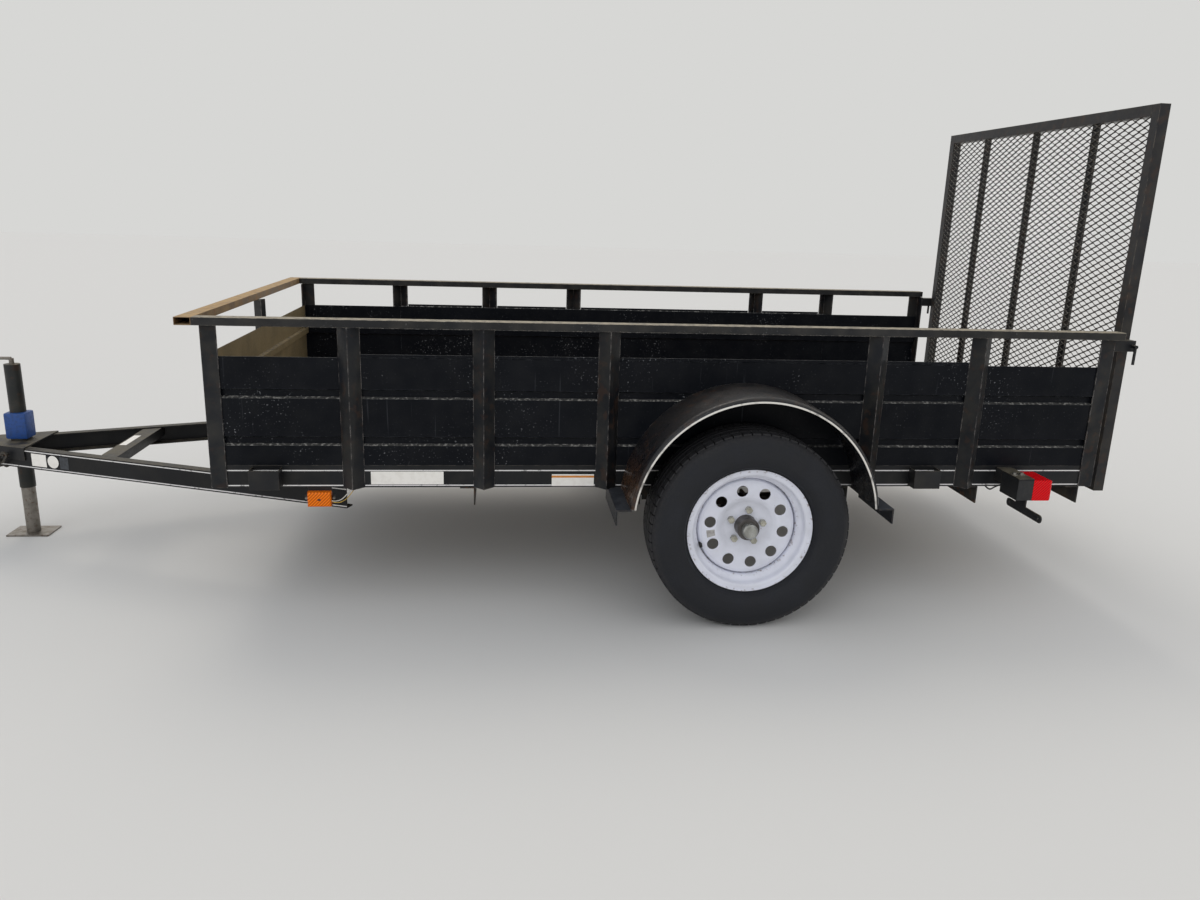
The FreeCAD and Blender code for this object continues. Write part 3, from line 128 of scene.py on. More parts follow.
@dataclass
class Surface:
    """A material under way.

    Attributes:
        name: Its name.
        colour: Colour so far, a hex value before the first coat.
        material: The material itself.
        tree: Its nodes.
        shader: The shader at their end.
        place: Place on the piece, in metres.
        axes: The same place as X, Y and Z.
        normal: Direction that the surface faces, as X, Y and Z.
    """

    name: str
    colour: str | bpy.types.NodeSocket
    material: bpy.types.Material = field(init=False)
    tree: bpy.types.NodeTree = field(init=False)
    shader: bpy.types.Node = field(init=False)
    place: bpy.types.NodeSocket = field(init=False)
    axes: Sequence[bpy.types.NodeSocket] = field(init=False)
    normal: Sequence[bpy.types.NodeSocket] = field(init=False)

    def __post_init__(self) -> None:
        """Make the material with its coordinates."""
        self.material = bpy.data.materials.new(self.name)
        self.material.use_nodes = True
        self.tree = self.material.node_tree
        self.shader = self.tree.nodes["Principled BSDF"]
        coordinates = add(self.tree, "ShaderNodeTexCoord")
        self.place = coordinates.outputs["Object"]
        self.axes = add(self.tree, "ShaderNodeSeparateXYZ", {}, (self.place,)).outputs
        self.normal = add(self.tree, "ShaderNodeSeparateXYZ", {}, (coordinates.outputs["Normal"],)).outputs

    def constants(self, **values: float) -> None:
        """Set shader inputs that are the same all over.

        Args:
            values: Input names with underscores for spaces.
        """
        for key, value in values.items():
            self.shader.inputs[key.replace("_", " ").title().replace("Ior", "IOR")].default_value = value

    def feed(self, key: str, socket: bpy.types.NodeSocket) -> None:
        """Link a socket to one of the shader's inputs."""
        self.tree.links.new(socket, self.shader.inputs[key])

    def coat(self, over: str, *masks: bpy.types.NodeSocket) -> None:
        """Lay a colour over what is there, as far as all of its masks let it show.

        Args:
            over: The colour.
            masks: Shares from zero to one, which are multiplied.
        """
        share = masks[0]
        for mask in masks[1:]:
            share = add(self.tree, "ShaderNodeMath", TIMES, (share, mask)).outputs[0]
        under = linear(self.colour) if isinstance(self.colour, str) else self.colour
        mixed = add(self.tree, "ShaderNodeMix", {"data_type": "RGBA"}, {0: share, 6: under, 7: linear(over)})
        self.colour = mixed.outputs[2]

    def blotches(self, size_mm: float, detail: float, stretch: Triple = (1.0, 1.0, 1.0),
                 place: bpy.types.NodeSocket | None = None) -> bpy.types.NodeSocket:
        """Noise whose blotches have a real size.

        Args:
            size_mm: Size of a blotch.
            detail: Octaves of finer noise.
            stretch: How much longer a blotch is along each axis.
            place: Coordinates to use instead of the piece's own.

        Returns:
            Noise value about one half.
        """
        scaled = add(self.tree, "ShaderNodeMapping", {},
                     {"Vector": self.place if place is None else place,
                      "Scale": tuple(1 / length for length in stretch)})
        cloud = add(self.tree, "ShaderNodeTexNoise", {},
                    {"Vector": scaled.outputs[0], "Scale": 1 / (size_mm * MM), "Detail": detail})
        return cloud.outputs["Fac"]

    def patches(self, size_mm: float, detail: float, low: float, high: float, out_low: float = 0.0,
                out_high: float = 1.0) -> bpy.types.NodeSocket:
        """Patches of a real size that fade out at their edges.

        Args:
            size_mm: Size of a patch.
            detail: Octaves of finer noise.
            low: Noise that becomes out_low.
            high: Noise that becomes out_high.
            out_low: Value between the patches.
            out_high: Value on the patches.

        Returns:
            The value.
        """
        spread = (self.blotches(size_mm, detail), low, high, out_low, out_high)
        return add(self.tree, "ShaderNodeMapRange", SMOOTH, spread).outputs[0]

    def reach(self, axle: Triple) -> bpy.types.NodeSocket:
        """Distance from a line along Y.

        Args:
            axle: A point of the line, in metres.

        Returns:
            The distance in metres.
        """
        off = add(self.tree, "ShaderNodeVectorMath", {"operation": "SUBTRACT"}, (self.place, axle))
        flat = add(self.tree, "ShaderNodeVectorMath", TIMES, (off.outputs[0], (1.0, 0.0, 1.0)))
        length = add(self.tree, "ShaderNodeVectorMath", {"operation": "LENGTH"}, (flat.outputs[0],))
        return length.outputs["Value"]

    def bump(self, height: bpy.types.NodeSocket, depth_mm: float, strength: float = 1.0) -> None:
        """Relief of a real depth.

        Args:
            height: Relief from zero to one.
            depth_mm: Depth of the relief.
            strength: Share of it that shows.
        """
        relief = add(self.tree, "ShaderNodeBump", {},
                     {"Strength": strength, "Distance": depth_mm * MM, "Height": height})
        self.feed("Normal", relief.outputs[0])

    def edges(self, width_mm: float) -> bpy.types.NodeSocket:
        """Mask of the corners of a piece.

        Args:
            width_mm: Width of the rubbed band.

        Returns:
            One at a sharp corner and zero on flat faces.
        """
        soft = add(self.tree, "ShaderNodeBevel", {"samples": 4}, {"Radius": width_mm * MM})
        flat = add(self.tree, "ShaderNodeNewGeometry")
        dot = add(self.tree, "ShaderNodeVectorMath", {"operation": "DOT_PRODUCT"},
                  (soft.outputs[0], flat.outputs["Normal"]))
        return add(self.tree, "ShaderNodeMapRange", SMOOTH, (dot.outputs["Value"], 0.995, 0.93)).outputs[0]

    def upward(self) -> bpy.types.NodeSocket:
        """Mask of the faces that look up."""
        return add(self.tree, "ShaderNodeMapRange", SMOOTH, (self.normal[2], 0.35, 0.9)).outputs[0]


@dataclass(frozen=True)
class Enamel:
    """Sprayed steel: black enamel that has dulled, gathered road dust and rubbed through at corners, with
    painted sunlight, sheen and highlights laid on some pieces.

    Attributes:
        name: Name of the material.
        colour: Clean paint.
        roughness: Roughness of clean paint.
        shine: Specular level of the paint.
        cloud: Most that broad fading shows.
        streaks: Most that the pale runs of rain show.
        dust: Colour of the road dust; on the top rails, the front rail, the front sheet and the fenders also
            the colour of the painted light laid with it.
        dust_film: Most that dust covers of any face; on the front rail this film is painted low sunlight.
        dust_on_top: Most that dust covers of a face that looks up; on the top rails it is partly a painted
            sheen, on the front rail painted sunlight and on the fenders' crown a painted highlight.
        heap_mm: Size of the dust's heaps there.
        heap_gap: Noise below which the heaps thin out.
        back_dust: Most that dust and painted low sunlight cover of a face that looks rearward, on top of the
            film.
        specks: Most that stone chips show.
        rust: Most that rust shows.
        rust_colour: Colour of rust, and of mud that the wheel throws.
        stripes_mm: Heights of the white pinstripes over the ground.
        stripe_half_mm: Half of a pinstripe's width.
        lip_m: X and Z of a fender's axis, radius of its lip and its least distance out, or nothing.
        splash_m: Foremost X and the height of the thrown mud, or nothing.
        rub: Most that the corners are rubbed through; on the posts, the fenders and the mesh this is also a
            painted highlight.
        rub_colour: What shows at rubbed corners and at the lip, partly as a painted highlight.
        rub_width_mm: Width of the rubbed and highlighted band.
        faded_colour, streak_colour, speck_colour, stripe_colour: Colours of the fading, the runs of
            rain, the stone chips and the pinstripes.
    """

    name: str
    colour: str = "#141518"
    roughness: float = 0.42
    dust: str = "#77705F"
    dust_on_top: float = 0.55
    dust_film: float = 0.10
    rub: float = 0.5
    rub_colour: str = "#6C6052"
    rub_width_mm: float = 2.5
    streaks: float = 0.0
    specks: float = 0.0
    cloud: float = 0.22
    rust: float = 0.0
    rust_colour: str = "#5A3A22"
    splash_m: tuple[float, ...] = ()
    lip_m: tuple[float, ...] = ()
    shine: float = 0.3
    heap_mm: float = 45.0
    heap_gap: float = 0.25
    back_dust: float = 0.0
    stripes_mm: tuple[float, ...] = ()
    stripe_half_mm: float = 1.9
    faded_colour: str = "#3A3D44"
    streak_colour: str = "#7C7F86"
    speck_colour: str = "#8D8F92"
    stripe_colour: str = "#E4E2E0"

    def dusted(self, s: Surface) -> bpy.types.NodeSocket:
        """Lay a film of road dust all over, heaps on what looks up, and more on what looks rearward; on some
        pieces these coats are painted sunlight, sheen and highlight as well.

        Args:
            s: The surface under way.

        Returns:
            Share of film and heaps, dust and painted light together, which also dulls the paint.
        """
        film = s.patches(70, 6, 0.3, 0.8, 0.0, self.dust_film)
        # Heaps on what looks up are dust; on the top rails they are also a painted sheen, on the front rail
        # painted sunlight, on the fenders' crown a painted highlight
        heaps = s.patches(self.heap_mm, 6, self.heap_gap, 0.64, self.heap_gap * 0.3, self.dust_on_top)
        on_top = add(s.tree, "ShaderNodeMath", TIMES, (s.upward(), heaps)).outputs[0]
        share = add(s.tree, "ShaderNodeMath", {"operation": "ADD", "use_clamp": True},
                    (film, on_top)).outputs[0]
        s.coat(self.dust, share)
        # Faces that look rearward get dust and painted low sunlight, as on the front sheet's face toward the
        # load
        if self.back_dust:
            rearward = add(s.tree, "ShaderNodeMath", {"operation": "LESS_THAN"}, (s.normal[0], -0.5))
            settled = s.patches(90, 6, 0.3, 0.7, self.back_dust * 0.72, self.back_dust)
            s.coat(self.dust, rearward.outputs[0], settled)
        return share

    def damaged(self, s: Surface) -> None:
        """Chip the paint in crowds of specks, and let rust through where the paint has faded.

        Args:
            s: The surface under way.
        """
        if self.specks:
            s.coat(self.speck_colour, s.patches(7, 5, 0.62, 0.70),
                   s.patches(170, 3, 0.5, 0.66, 0.05, self.specks))
        if self.rust:
            s.coat(self.rust_colour, s.patches(30, 7, 0.52, 0.66),
                   s.patches(260, 5, 0.4, 0.62, 0.2, self.rust))

    def striped(self, s: Surface) -> None:
        """Lay the worn white pinstripes on the webs that look outward.

        Args:
            s: The surface under way.
        """
        sign = add(s.tree, "ShaderNodeMath", {"operation": "SIGN"}, (s.axes[1],))
        outward = add(s.tree, "ShaderNodeMath", TIMES, (s.normal[1], sign.outputs[0]))
        facing = add(s.tree, "ShaderNodeMath", {"operation": "GREATER_THAN"}, (outward.outputs[0], 0.5))
        worn = s.patches(14, 6, 0.32, 0.42, 0.35, 1.0)
        for height in self.stripes_mm:
            near = add(s.tree, "ShaderNodeMath", {"operation": "COMPARE"},
                       (s.axes[2], height * MM, self.stripe_half_mm * MM))
            s.coat(self.stripe_colour, facing.outputs[0], worn, near.outputs[0])

    def worn_lip(self, s: Surface) -> None:
        """Paint a bright line along the rolled edge of a fender: a painted highlight over paint worn to bare
        steel.

        Args:
            s: The surface under way.
        """
        x, z, radius, out = self.lip_m
        within = add(s.tree, "ShaderNodeMath", {"operation": "LESS_THAN"}, (s.reach((x, 0.0, z)), radius))
        across = add(s.tree, "ShaderNodeMath", {"operation": "ABSOLUTE"}, (s.axes[1],))
        outermost = add(s.tree, "ShaderNodeMath", {"operation": "GREATER_THAN"}, (across.outputs[0], out))
        s.coat(self.rub_colour, within.outputs[0], outermost.outputs[0],
               s.patches(35, 6, 0.32, 0.46, 0.45, 1.0))

    def splashed(self, s: Surface) -> None:
        """Throw mud on the low front of a fender, where the wheel sends it.

        Args:
            s: The surface under way.
        """
        front, height = self.splash_m
        ahead = add(s.tree, "ShaderNodeMapRange", SMOOTH, (s.axes[0], front - 0.08, front + 0.10))
        below = add(s.tree, "ShaderNodeMapRange", SMOOTH, (s.axes[2], height + 0.12, height - 0.10))
        s.coat(self.rust_colour, ahead.outputs[0], below.outputs[0], s.patches(28, 7, 0.38, 0.6, 0.35, 0.9))

    def material(self) -> bpy.types.Material:
        """Build the enamel.

        Returns:
            The material.
        """
        s = Surface(self.name, self.colour)
        s.coat(self.faded_colour, s.patches(260, 5, 0.3, 0.75, 0.0, self.cloud))
        if self.streaks:
            runs = (s.blotches(9, 2, (1.0, 1.0, 40.0)), 0.70, 0.76, 0.0, self.streaks)
            s.coat(self.streak_colour, add(s.tree, "ShaderNodeMapRange", SMOOTH, runs).outputs[0])
        dusty = self.dusted(s)
        self.damaged(s)
        if self.stripes_mm:
            self.striped(s)
        if self.lip_m:
            self.worn_lip(s)
        if self.splash_m:
            self.splashed(s)
        # Rubbed corners in a pale band; on the posts, the fenders and the gate mesh the band is also a
        # painted highlight
        s.coat(self.rub_colour, s.edges(self.rub_width_mm), s.patches(24, 7, 0.4, 0.62, 0.0, self.rub))
        s.feed("Base Color", s.colour)
        dull = add(s.tree, "ShaderNodeMath", {"operation": "MULTIPLY_ADD"}, (dusty, 0.4, self.roughness))
        rough = add(s.tree, "ShaderNodeMath", {"operation": "ADD"},
                    (dull.outputs[0], s.patches(9, 5, 0.3, 0.7, -0.05, 0.06)))
        s.feed("Roughness", rough.outputs[0])
        s.bump(s.blotches(9, 5), 0.25, 0.5)
        s.constants(specular_ior_level=self.shine)
        return s.material


@dataclass(frozen=True)
class Timber:
    """Treated pine planks: greyed by weather, each a little different, with long grain along the bed."""

    name: str = "weathered_pine"
    plank_pitch: float = 0.14
    dark_grain: str = "#6E6252"
    pale_grain: str = "#A39581"
    plank_tint: str = "#7F705A"
    stain_colour: str = "#4F473D"

    def material(self) -> bpy.types.Material:
        """Build the timber.

        Returns:
            The material.
        """
        s = Surface(self.name, self.dark_grain)
        across = add(s.tree, "ShaderNodeMath", {"operation": "DIVIDE"}, (s.axes[1], self.plank_pitch))
        number = add(s.tree, "ShaderNodeMath", {"operation": "FLOOR"}, (across.outputs[0],))
        toss = add(s.tree, "ShaderNodeTexWhiteNoise", {"noise_dimensions": "1D"}, {"W": number.outputs[0]})
        lie = add(s.tree, "ShaderNodeVectorMath", {"operation": "ADD"}, (s.place, toss.outputs["Color"]))
        grain = s.blotches(5, 6, (60.0, 1.0, 1.0), lie.outputs[0])
        pale = add(s.tree, "ShaderNodeMapRange", SMOOTH, (grain, 0.35, 0.68))
        tint = add(s.tree, "ShaderNodeMapRange", SMOOTH, (toss.outputs["Value"], 0.0, 1.0, 0.0, 0.35))
        s.coat(self.pale_grain, pale.outputs[0])
        s.coat(self.plank_tint, tint.outputs[0])
        s.coat(self.stain_colour, s.patches(300, 4, 0.45, 0.7, 0.0, 0.5))
        s.feed("Base Color", s.colour)
        s.bump(grain, 1.2, 0.8)
        s.constants(roughness=0.85, specular_ior_level=0.25)
        return s.material


@dataclass(frozen=True)
class Rubber:
    """Moulded tyre rubber: blue-black, with fine mould rings on the wall and dust on the tread."""

    name: str
    axle: Triple
    colour: str = "#191B20"
    worn: str = "#36383E"
    dust: str = "#454240"
    tread_foot: float = 0.300
    tread_edge: float = 0.330
    rings_per_metre: float = 1400.0

    def material(self) -> bpy.types.Material:
        """Build the rubber.

        Returns:
            The material.
        """
        s = Surface(self.name, self.colour)
        radius = s.reach(self.axle)
        turns = add(s.tree, "ShaderNodeMath", TIMES, (radius, self.rings_per_metre))
        rings = add(s.tree, "ShaderNodeMath", {"operation": "SINE"}, (turns.outputs[0],))
        shallow = add(s.tree, "ShaderNodeMath", TIMES, (rings.outputs[0], 0.2))
        relief = add(s.tree, "ShaderNodeMath", {"operation": "ADD"},
                     (shallow.outputs[0], s.blotches(6, 5)))
        tread = add(s.tree, "ShaderNodeMapRange", SMOOTH,
                    (radius, self.tread_foot, self.tread_edge, 0.06, 0.4))
        s.coat(self.worn, s.patches(90, 5, 0.35, 0.75, 0.0, 0.3))
        s.coat(self.dust, tread.outputs[0], s.patches(6, 5, 0.3, 0.7, 0.3, 1.0))
        s.feed("Base Color", s.colour)
        s.feed("Roughness", s.patches(90, 5, 0.3, 0.7, 0.62, 0.82))
        s.bump(relief.outputs[0], 0.4, 0.6)
        s.constants(specular_ior_level=0.35)
        return s.material


@dataclass(frozen=True)
class WheelWhite:
    """White baked enamel on the steel wheel: faintly blue, chalky, with brown bleeding at its seams."""

    name: str
    axle: Triple
    colour: str = "#E6E8F2"
    chalk: str = "#C6C7CE"
    grime: str = "#6E5340"
    chip: str = "#7A5A44"
    # Radii where grime begins and is full: at the lip, and at the disc's seam from inside and outside
    lip: Pair = (0.196, 0.207)
    seam_inside: Pair = (0.160, 0.168)
    seam_outside: Pair = (0.178, 0.169)

    def material(self) -> bpy.types.Material:
        """Build the wheel paint.

        Returns:
            The material.
        """
        s = Surface(self.name, self.colour)
        s.coat(self.chalk, s.patches(60, 5, 0.35, 0.75, 0.0, 0.35))
        radius = s.reach(self.axle)
        lip, inside, outside = (add(s.tree, "ShaderNodeMapRange", SMOOTH, (radius, *ends)).outputs[0]
                                for ends in (self.lip, self.seam_inside, self.seam_outside))
        seam = add(s.tree, "ShaderNodeMath", TIMES, (inside, outside))
        where = add(s.tree, "ShaderNodeMath", {"operation": "MAXIMUM"}, (lip, seam.outputs[0]))
        s.coat(self.grime, where.outputs[0], s.patches(12, 6, 0.54, 0.70, 0.0, 0.7))
        s.coat(self.chip, s.patches(7, 4, 0.74, 0.77, 0.0, 0.7))
        s.feed("Base Color", s.colour)
        s.feed("Roughness", s.patches(60, 5, 0.3, 0.7, 0.34, 0.5))
        s.bump(s.blotches(4, 4), 0.15, 0.5)
        s.constants(specular_ior_level=0.5)
        return s.material


@dataclass(frozen=True)
class Plating:
    """Zinc-plated steel: pale grey metal gone dull in cloudy patches, brown where it has rusted."""

    name: str
    colour: str = "#9D9A94"
    rust: float = 0.2
    roughness: float = 0.42
    dull: str = "#6F6A62"
    rust_colour: str = "#5B3B25"

    def material(self) -> bpy.types.Material:
        """Build the plating.

        Returns:
            The material.
        """
        s = Surface(self.name, self.colour)
        s.coat(self.dull, s.patches(26, 5, 0.3, 0.75, 0.0, 0.6))
        s.coat(self.rust_colour, s.patches(11, 7, 0.55, 0.68, 0.0, self.rust))
        s.feed("Base Color", s.colour)
        s.feed("Roughness", s.patches(26, 5, 0.3, 0.7, self.roughness - 0.08, self.roughness + 0.14))
        s.bump(s.blotches(3, 4), 0.1, 0.4)
        s.constants(metallic=0.85)
        return s.material


@dataclass(frozen=True)
class Lens:
    """Clear coloured acrylic: smooth outside, with moulded ribs that break up the light within."""

    name: str
    colour: str
    deep: str
    rib_scale: float = 60.0

    def material(self) -> bpy.types.Material:
        """Build the lens.

        Returns:
            The material.
        """
        s = Surface(self.name, self.deep)
        ribs = add(s.tree, "ShaderNodeTexWave", {"bands_direction": "DIAGONAL"},
                   {"Vector": s.place, "Scale": self.rib_scale}).outputs["Fac"]
        s.coat(self.colour, add(s.tree, "ShaderNodeMapRange", SMOOTH, (ribs, 0.2, 0.8)).outputs[0])
        s.feed("Base Color", s.colour)
        s.bump(ribs, 0.6, 0.35)
        s.constants(roughness=0.2, ior=1.49, specular_ior_level=0.15, coat_weight=0.08, coat_roughness=0.05)
        return s.material


@dataclass(frozen=True)
class Plain:
    """Small trim with one colour that has aged a little, such as vinyl, moulded plastic or a bare hub."""

    name: str
    colour: str
    aged: str
    roughness: float = 0.5
    metallic: float = 0.0
    blotch_mm: float = 12.0

    def material(self) -> bpy.types.Material:
        """Build the trim's material.

        Returns:
            The material.
        """
        s = Surface(self.name, self.colour)
        s.coat(self.aged, s.patches(self.blotch_mm, 5, 0.42, 0.68, 0.0, 0.7))
        s.feed("Base Color", s.colour)
        s.feed("Roughness", s.patches(self.blotch_mm, 5, 0.3, 0.7, self.roughness - 0.06,
                                      self.roughness + 0.1))
        s.bump(s.blotches(self.blotch_mm, 5), 0.08, 0.4)
        s.constants(metallic=self.metallic)
        return s.material


def mesh_piece(name: str, corners: Sequence[Sequence[float]], faces: Sequence[Sequence[int]],
               material: bpy.types.Material, smooth: bool = True) -> bpy.types.Object:
    """Make a piece from corners and faces, its place in its mesh.

    Args:
        name: Name of the piece.
        corners: Points in metres.
        faces: Corner numbers of each face.
        material: Its finish.
        smooth: Whether its faces are shaded smooth, up to sharp corners.

    Returns:
        The piece's object.
    """
    mesh = bpy.data.meshes.new(name)
    mesh.from_pydata([tuple(c) for c in corners], [], [list(f) for f in faces])
    tidy = bmesh.new()
    tidy.from_mesh(mesh)
    bmesh.ops.remove_doubles(tidy, verts=tidy.verts, dist=1e-6)
    bmesh.ops.recalc_face_normals(tidy, faces=tidy.faces)
    tidy.to_mesh(mesh)
    tidy.free()
    return dressed(name, mesh, material, smooth)


def dressed(name: str, mesh: bpy.types.Mesh, material: bpy.types.Material,
            smooth: bool = True) -> bpy.types.Object:
    """Put a finished mesh into the scene.

    Args:
        name: Name of the piece.
        mesh: Its mesh.
        material: Its finish.
        smooth: Whether its faces are shaded smooth, up to sharp corners.

    Returns:
        The piece's object.
    """
    mesh.materials.clear()
    mesh.materials.append(material)
    if smooth:
        mesh.shade_smooth()
        mesh.set_sharp_from_angle(angle=math.radians(35))
    piece = bpy.data.objects.new(name, mesh)
    bpy.context.scene.collection.objects.link(piece)
    return piece


def revolved(profile: Sequence[Pair], centre: Triple, side: Side, steps: int,
             closed: bool = True) -> tuple[list[Triple], list[tuple[int, ...]]]:
    """Turn a profile about an axle along Y.

    Args:
        profile: Points of (distance outward, radius) in metres.
        centre: Middle of the wheel.
        side: Side that the profile's outward direction looks to.
        steps: Number of steps round the axle.
        closed: Whether the profile's last point joins its first.

    Returns:
        Corners and faces.
    """
    corners = []
    for i in range(steps):
        turn = math.tau * i / steps
        for out, radius in profile:
            corners.append((centre[0] + radius * math.cos(turn), centre[1] + side.value * out,
                            centre[2] + radius * math.sin(turn)))
    count = len(profile)
    faces = []
    for i in range(steps):
        j = (i + 1) % steps
        for k in range(count if closed else count - 1):
            m = (k + 1) % count
            faces.append((i * count + k, i * count + m, j * count + m, j * count + k))
    return corners, faces


def banded(first: int, bands: int, count: int) -> list[tuple[int, ...]]:
    """Faces between closed rows of corners that lie next to each other.

    Args:
        first: Number of the first row's first corner.
        bands: Number of rows of faces.
        count: Corners in a row.

    Returns:
        The faces.
    """
    faces = []
    for band in range(bands):
        start = first + band * count
        for k in range(count):
            m = (k + 1) % count
            faces.append((start + k, start + m, start + count + m, start + count + k))
    return faces


def smooth_line(points: Sequence[Pair], steps: int) -> list[Pair]:
    """Run a smooth curve through a few points.

    Args:
        points: Points that the curve passes.
        steps: Pieces between two neighbours.

    Returns:
        Points along the curve.
    """
    line = []
    last = len(points) - 1
    for i in range(last):
        before, start, end, after = (points[max(i - 1, 0)], points[i], points[i + 1],
                                     points[min(i + 2, last)])
        for k in range(steps):
            t = k / steps
            line.append(tuple(
                0.5 * (2 * b + (c - a) * t + (2 * a - 5 * b + 4 * c - d) * t * t
                       + (3 * b - 3 * c + d - a) * t ** 3)
                for a, b, c, d in zip(before, start, end, after)))
    line.append(tuple(points[-1]))
    return line


def geometry_tree(name: str, inputs: dict[str, object]) -> tuple[bpy.types.NodeTree, bpy.types.Node]:
    """Start a geometry tree with named inputs.

    Args:
        name: Name of the tree.
        inputs: A value by input name, whose type sets the input's kind; an int, float, vector, object or
            material.

    Returns:
        The tree and its input node.
    """
    kinds = {int: "NodeSocketInt", float: "NodeSocketFloat", tuple: "NodeSocketVector",
             bpy.types.Object: "NodeSocketObject", bpy.types.Material: "NodeSocketMaterial"}
    tree = bpy.data.node_groups.new(name, "GeometryNodeTree")
    tree.interface.new_socket("Geometry", in_out="INPUT", socket_type="NodeSocketGeometry")
    for key, value in inputs.items():
        kind = next(word for sort, word in kinds.items() if isinstance(value, sort))
        tree.interface.new_socket(key, in_out="INPUT", socket_type=kind)
    tree.interface.new_socket("Geometry", in_out="OUTPUT", socket_type="NodeSocketGeometry")
    return tree, tree.nodes.new("NodeGroupInput")


def close_tree(tree: bpy.types.NodeTree, instances: bpy.types.NodeSocket, entry: bpy.types.Node) -> None:
    """End a tree by realizing its instances and giving them their material.

    Args:
        tree: The tree.
        instances: Its instances.
        entry: Its input node, which has the material.
    """
    real = add(tree, "GeometryNodeRealizeInstances", {}, (instances,))
    paint = add(tree, "GeometryNodeSetMaterial", {},
                {"Geometry": real.outputs[0], "Material": entry.outputs["Material"]})
    end = tree.nodes.new("NodeGroupOutput")
    tree.links.new(paint.outputs[0], end.inputs[0])


def grown(name: str, seed: bpy.types.Mesh, tree: bpy.types.NodeTree,
          inputs: dict[str, object]) -> bpy.types.Object:
    """Run a geometry tree on a seed mesh and keep the result as a plain piece.

    Args:
        name: Name of the piece.
        seed: Mesh that the tree starts from.
        tree: The geometry tree.
        inputs: Value by input name.

    Returns:
        The finished piece.
    """
    carrier = bpy.data.objects.new(name + "_seed", seed)
    bpy.context.scene.collection.objects.link(carrier)
    modifier = carrier.modifiers.new("grow", "NODES")
    modifier.node_group = tree
    sockets = {item.name: item.identifier for item in tree.interface.items_tree
               if item.in_out == "INPUT"}
    for key, value in inputs.items():
        modifier[sockets[key]] = value
    shown = carrier.evaluated_get(bpy.context.evaluated_depsgraph_get())
    mesh = bpy.data.meshes.new_from_object(shown)
    carrier.modifiers.clear()
    bpy.data.objects.remove(carrier)
    return dressed(name, mesh, inputs["Material"])


def stamp_tree() -> bpy.types.NodeTree:
    """Tree that sets a copy of one small part on every point, turned to the point's aim.

    Returns:
        The tree, with inputs Part and Material.
    """
    blank = bpy.data.objects.new("blank", None)
    tree, entry = geometry_tree("stamp", {"Part": blank, "Material": bpy.data.materials.new("blank")})
    bpy.data.objects.remove(blank)
    part = add(tree, "GeometryNodeObjectInfo", {}, {"Object": entry.outputs["Part"]})
    aim = add(tree, "GeometryNodeInputNamedAttribute", {"data_type": "FLOAT_VECTOR"}, {"Name": "aim"})
    turn = add(tree, "FunctionNodeAlignRotationToVector", {"axis": "Z"}, {"Vector": aim.outputs[0]})
    points = add(tree, "GeometryNodeMeshToPoints", {}, {"Mesh": entry.outputs["Geometry"]})
    placed = add(tree, "GeometryNodeInstanceOnPoints", {},
                 {"Points": points.outputs[0], "Instance": part.outputs["Geometry"],
                  "Rotation": turn.outputs[0]})
    close_tree(tree, placed.outputs[0], entry)
    return tree


def ring_tree() -> bpy.types.NodeTree:
    """Tree that repeats a piece round an axle along Y.

    Returns:
        The tree, with inputs Count, Centre, Phase and Material.
    """
    tree, entry = geometry_tree("ring", {"Count": 1, "Centre": (0.0, 0.0, 0.0), "Phase": 0.0,
                                         "Material": bpy.data.materials.new("blank")})
    back = add(tree, "ShaderNodeVectorMath", {"operation": "SCALE"},
               {0: entry.outputs["Centre"], "Scale": -1.0})
    home = add(tree, "GeometryNodeTransform", {},
               {"Geometry": entry.outputs["Geometry"], "Translation": back.outputs[0]})
    points = add(tree, "GeometryNodePoints", {},
                 {"Count": entry.outputs["Count"], "Position": entry.outputs["Centre"]})
    index = add(tree, "GeometryNodeInputIndex")
    step = add(tree, "ShaderNodeMath", {"operation": "DIVIDE"}, (math.tau, entry.outputs["Count"]))
    round_it = add(tree, "ShaderNodeMath", TIMES, (index.outputs[0], step.outputs[0]))
    turn = add(tree, "ShaderNodeMath", {"operation": "ADD"}, (round_it.outputs[0], entry.outputs["Phase"]))
    angles = add(tree, "ShaderNodeCombineXYZ", {}, {"Y": turn.outputs[0]})
    placed = add(tree, "GeometryNodeInstanceOnPoints", {},
                 {"Points": points.outputs[0], "Instance": home.outputs[0], "Rotation": angles.outputs[0]})
    close_tree(tree, placed.outputs[0], entry)
    return tree


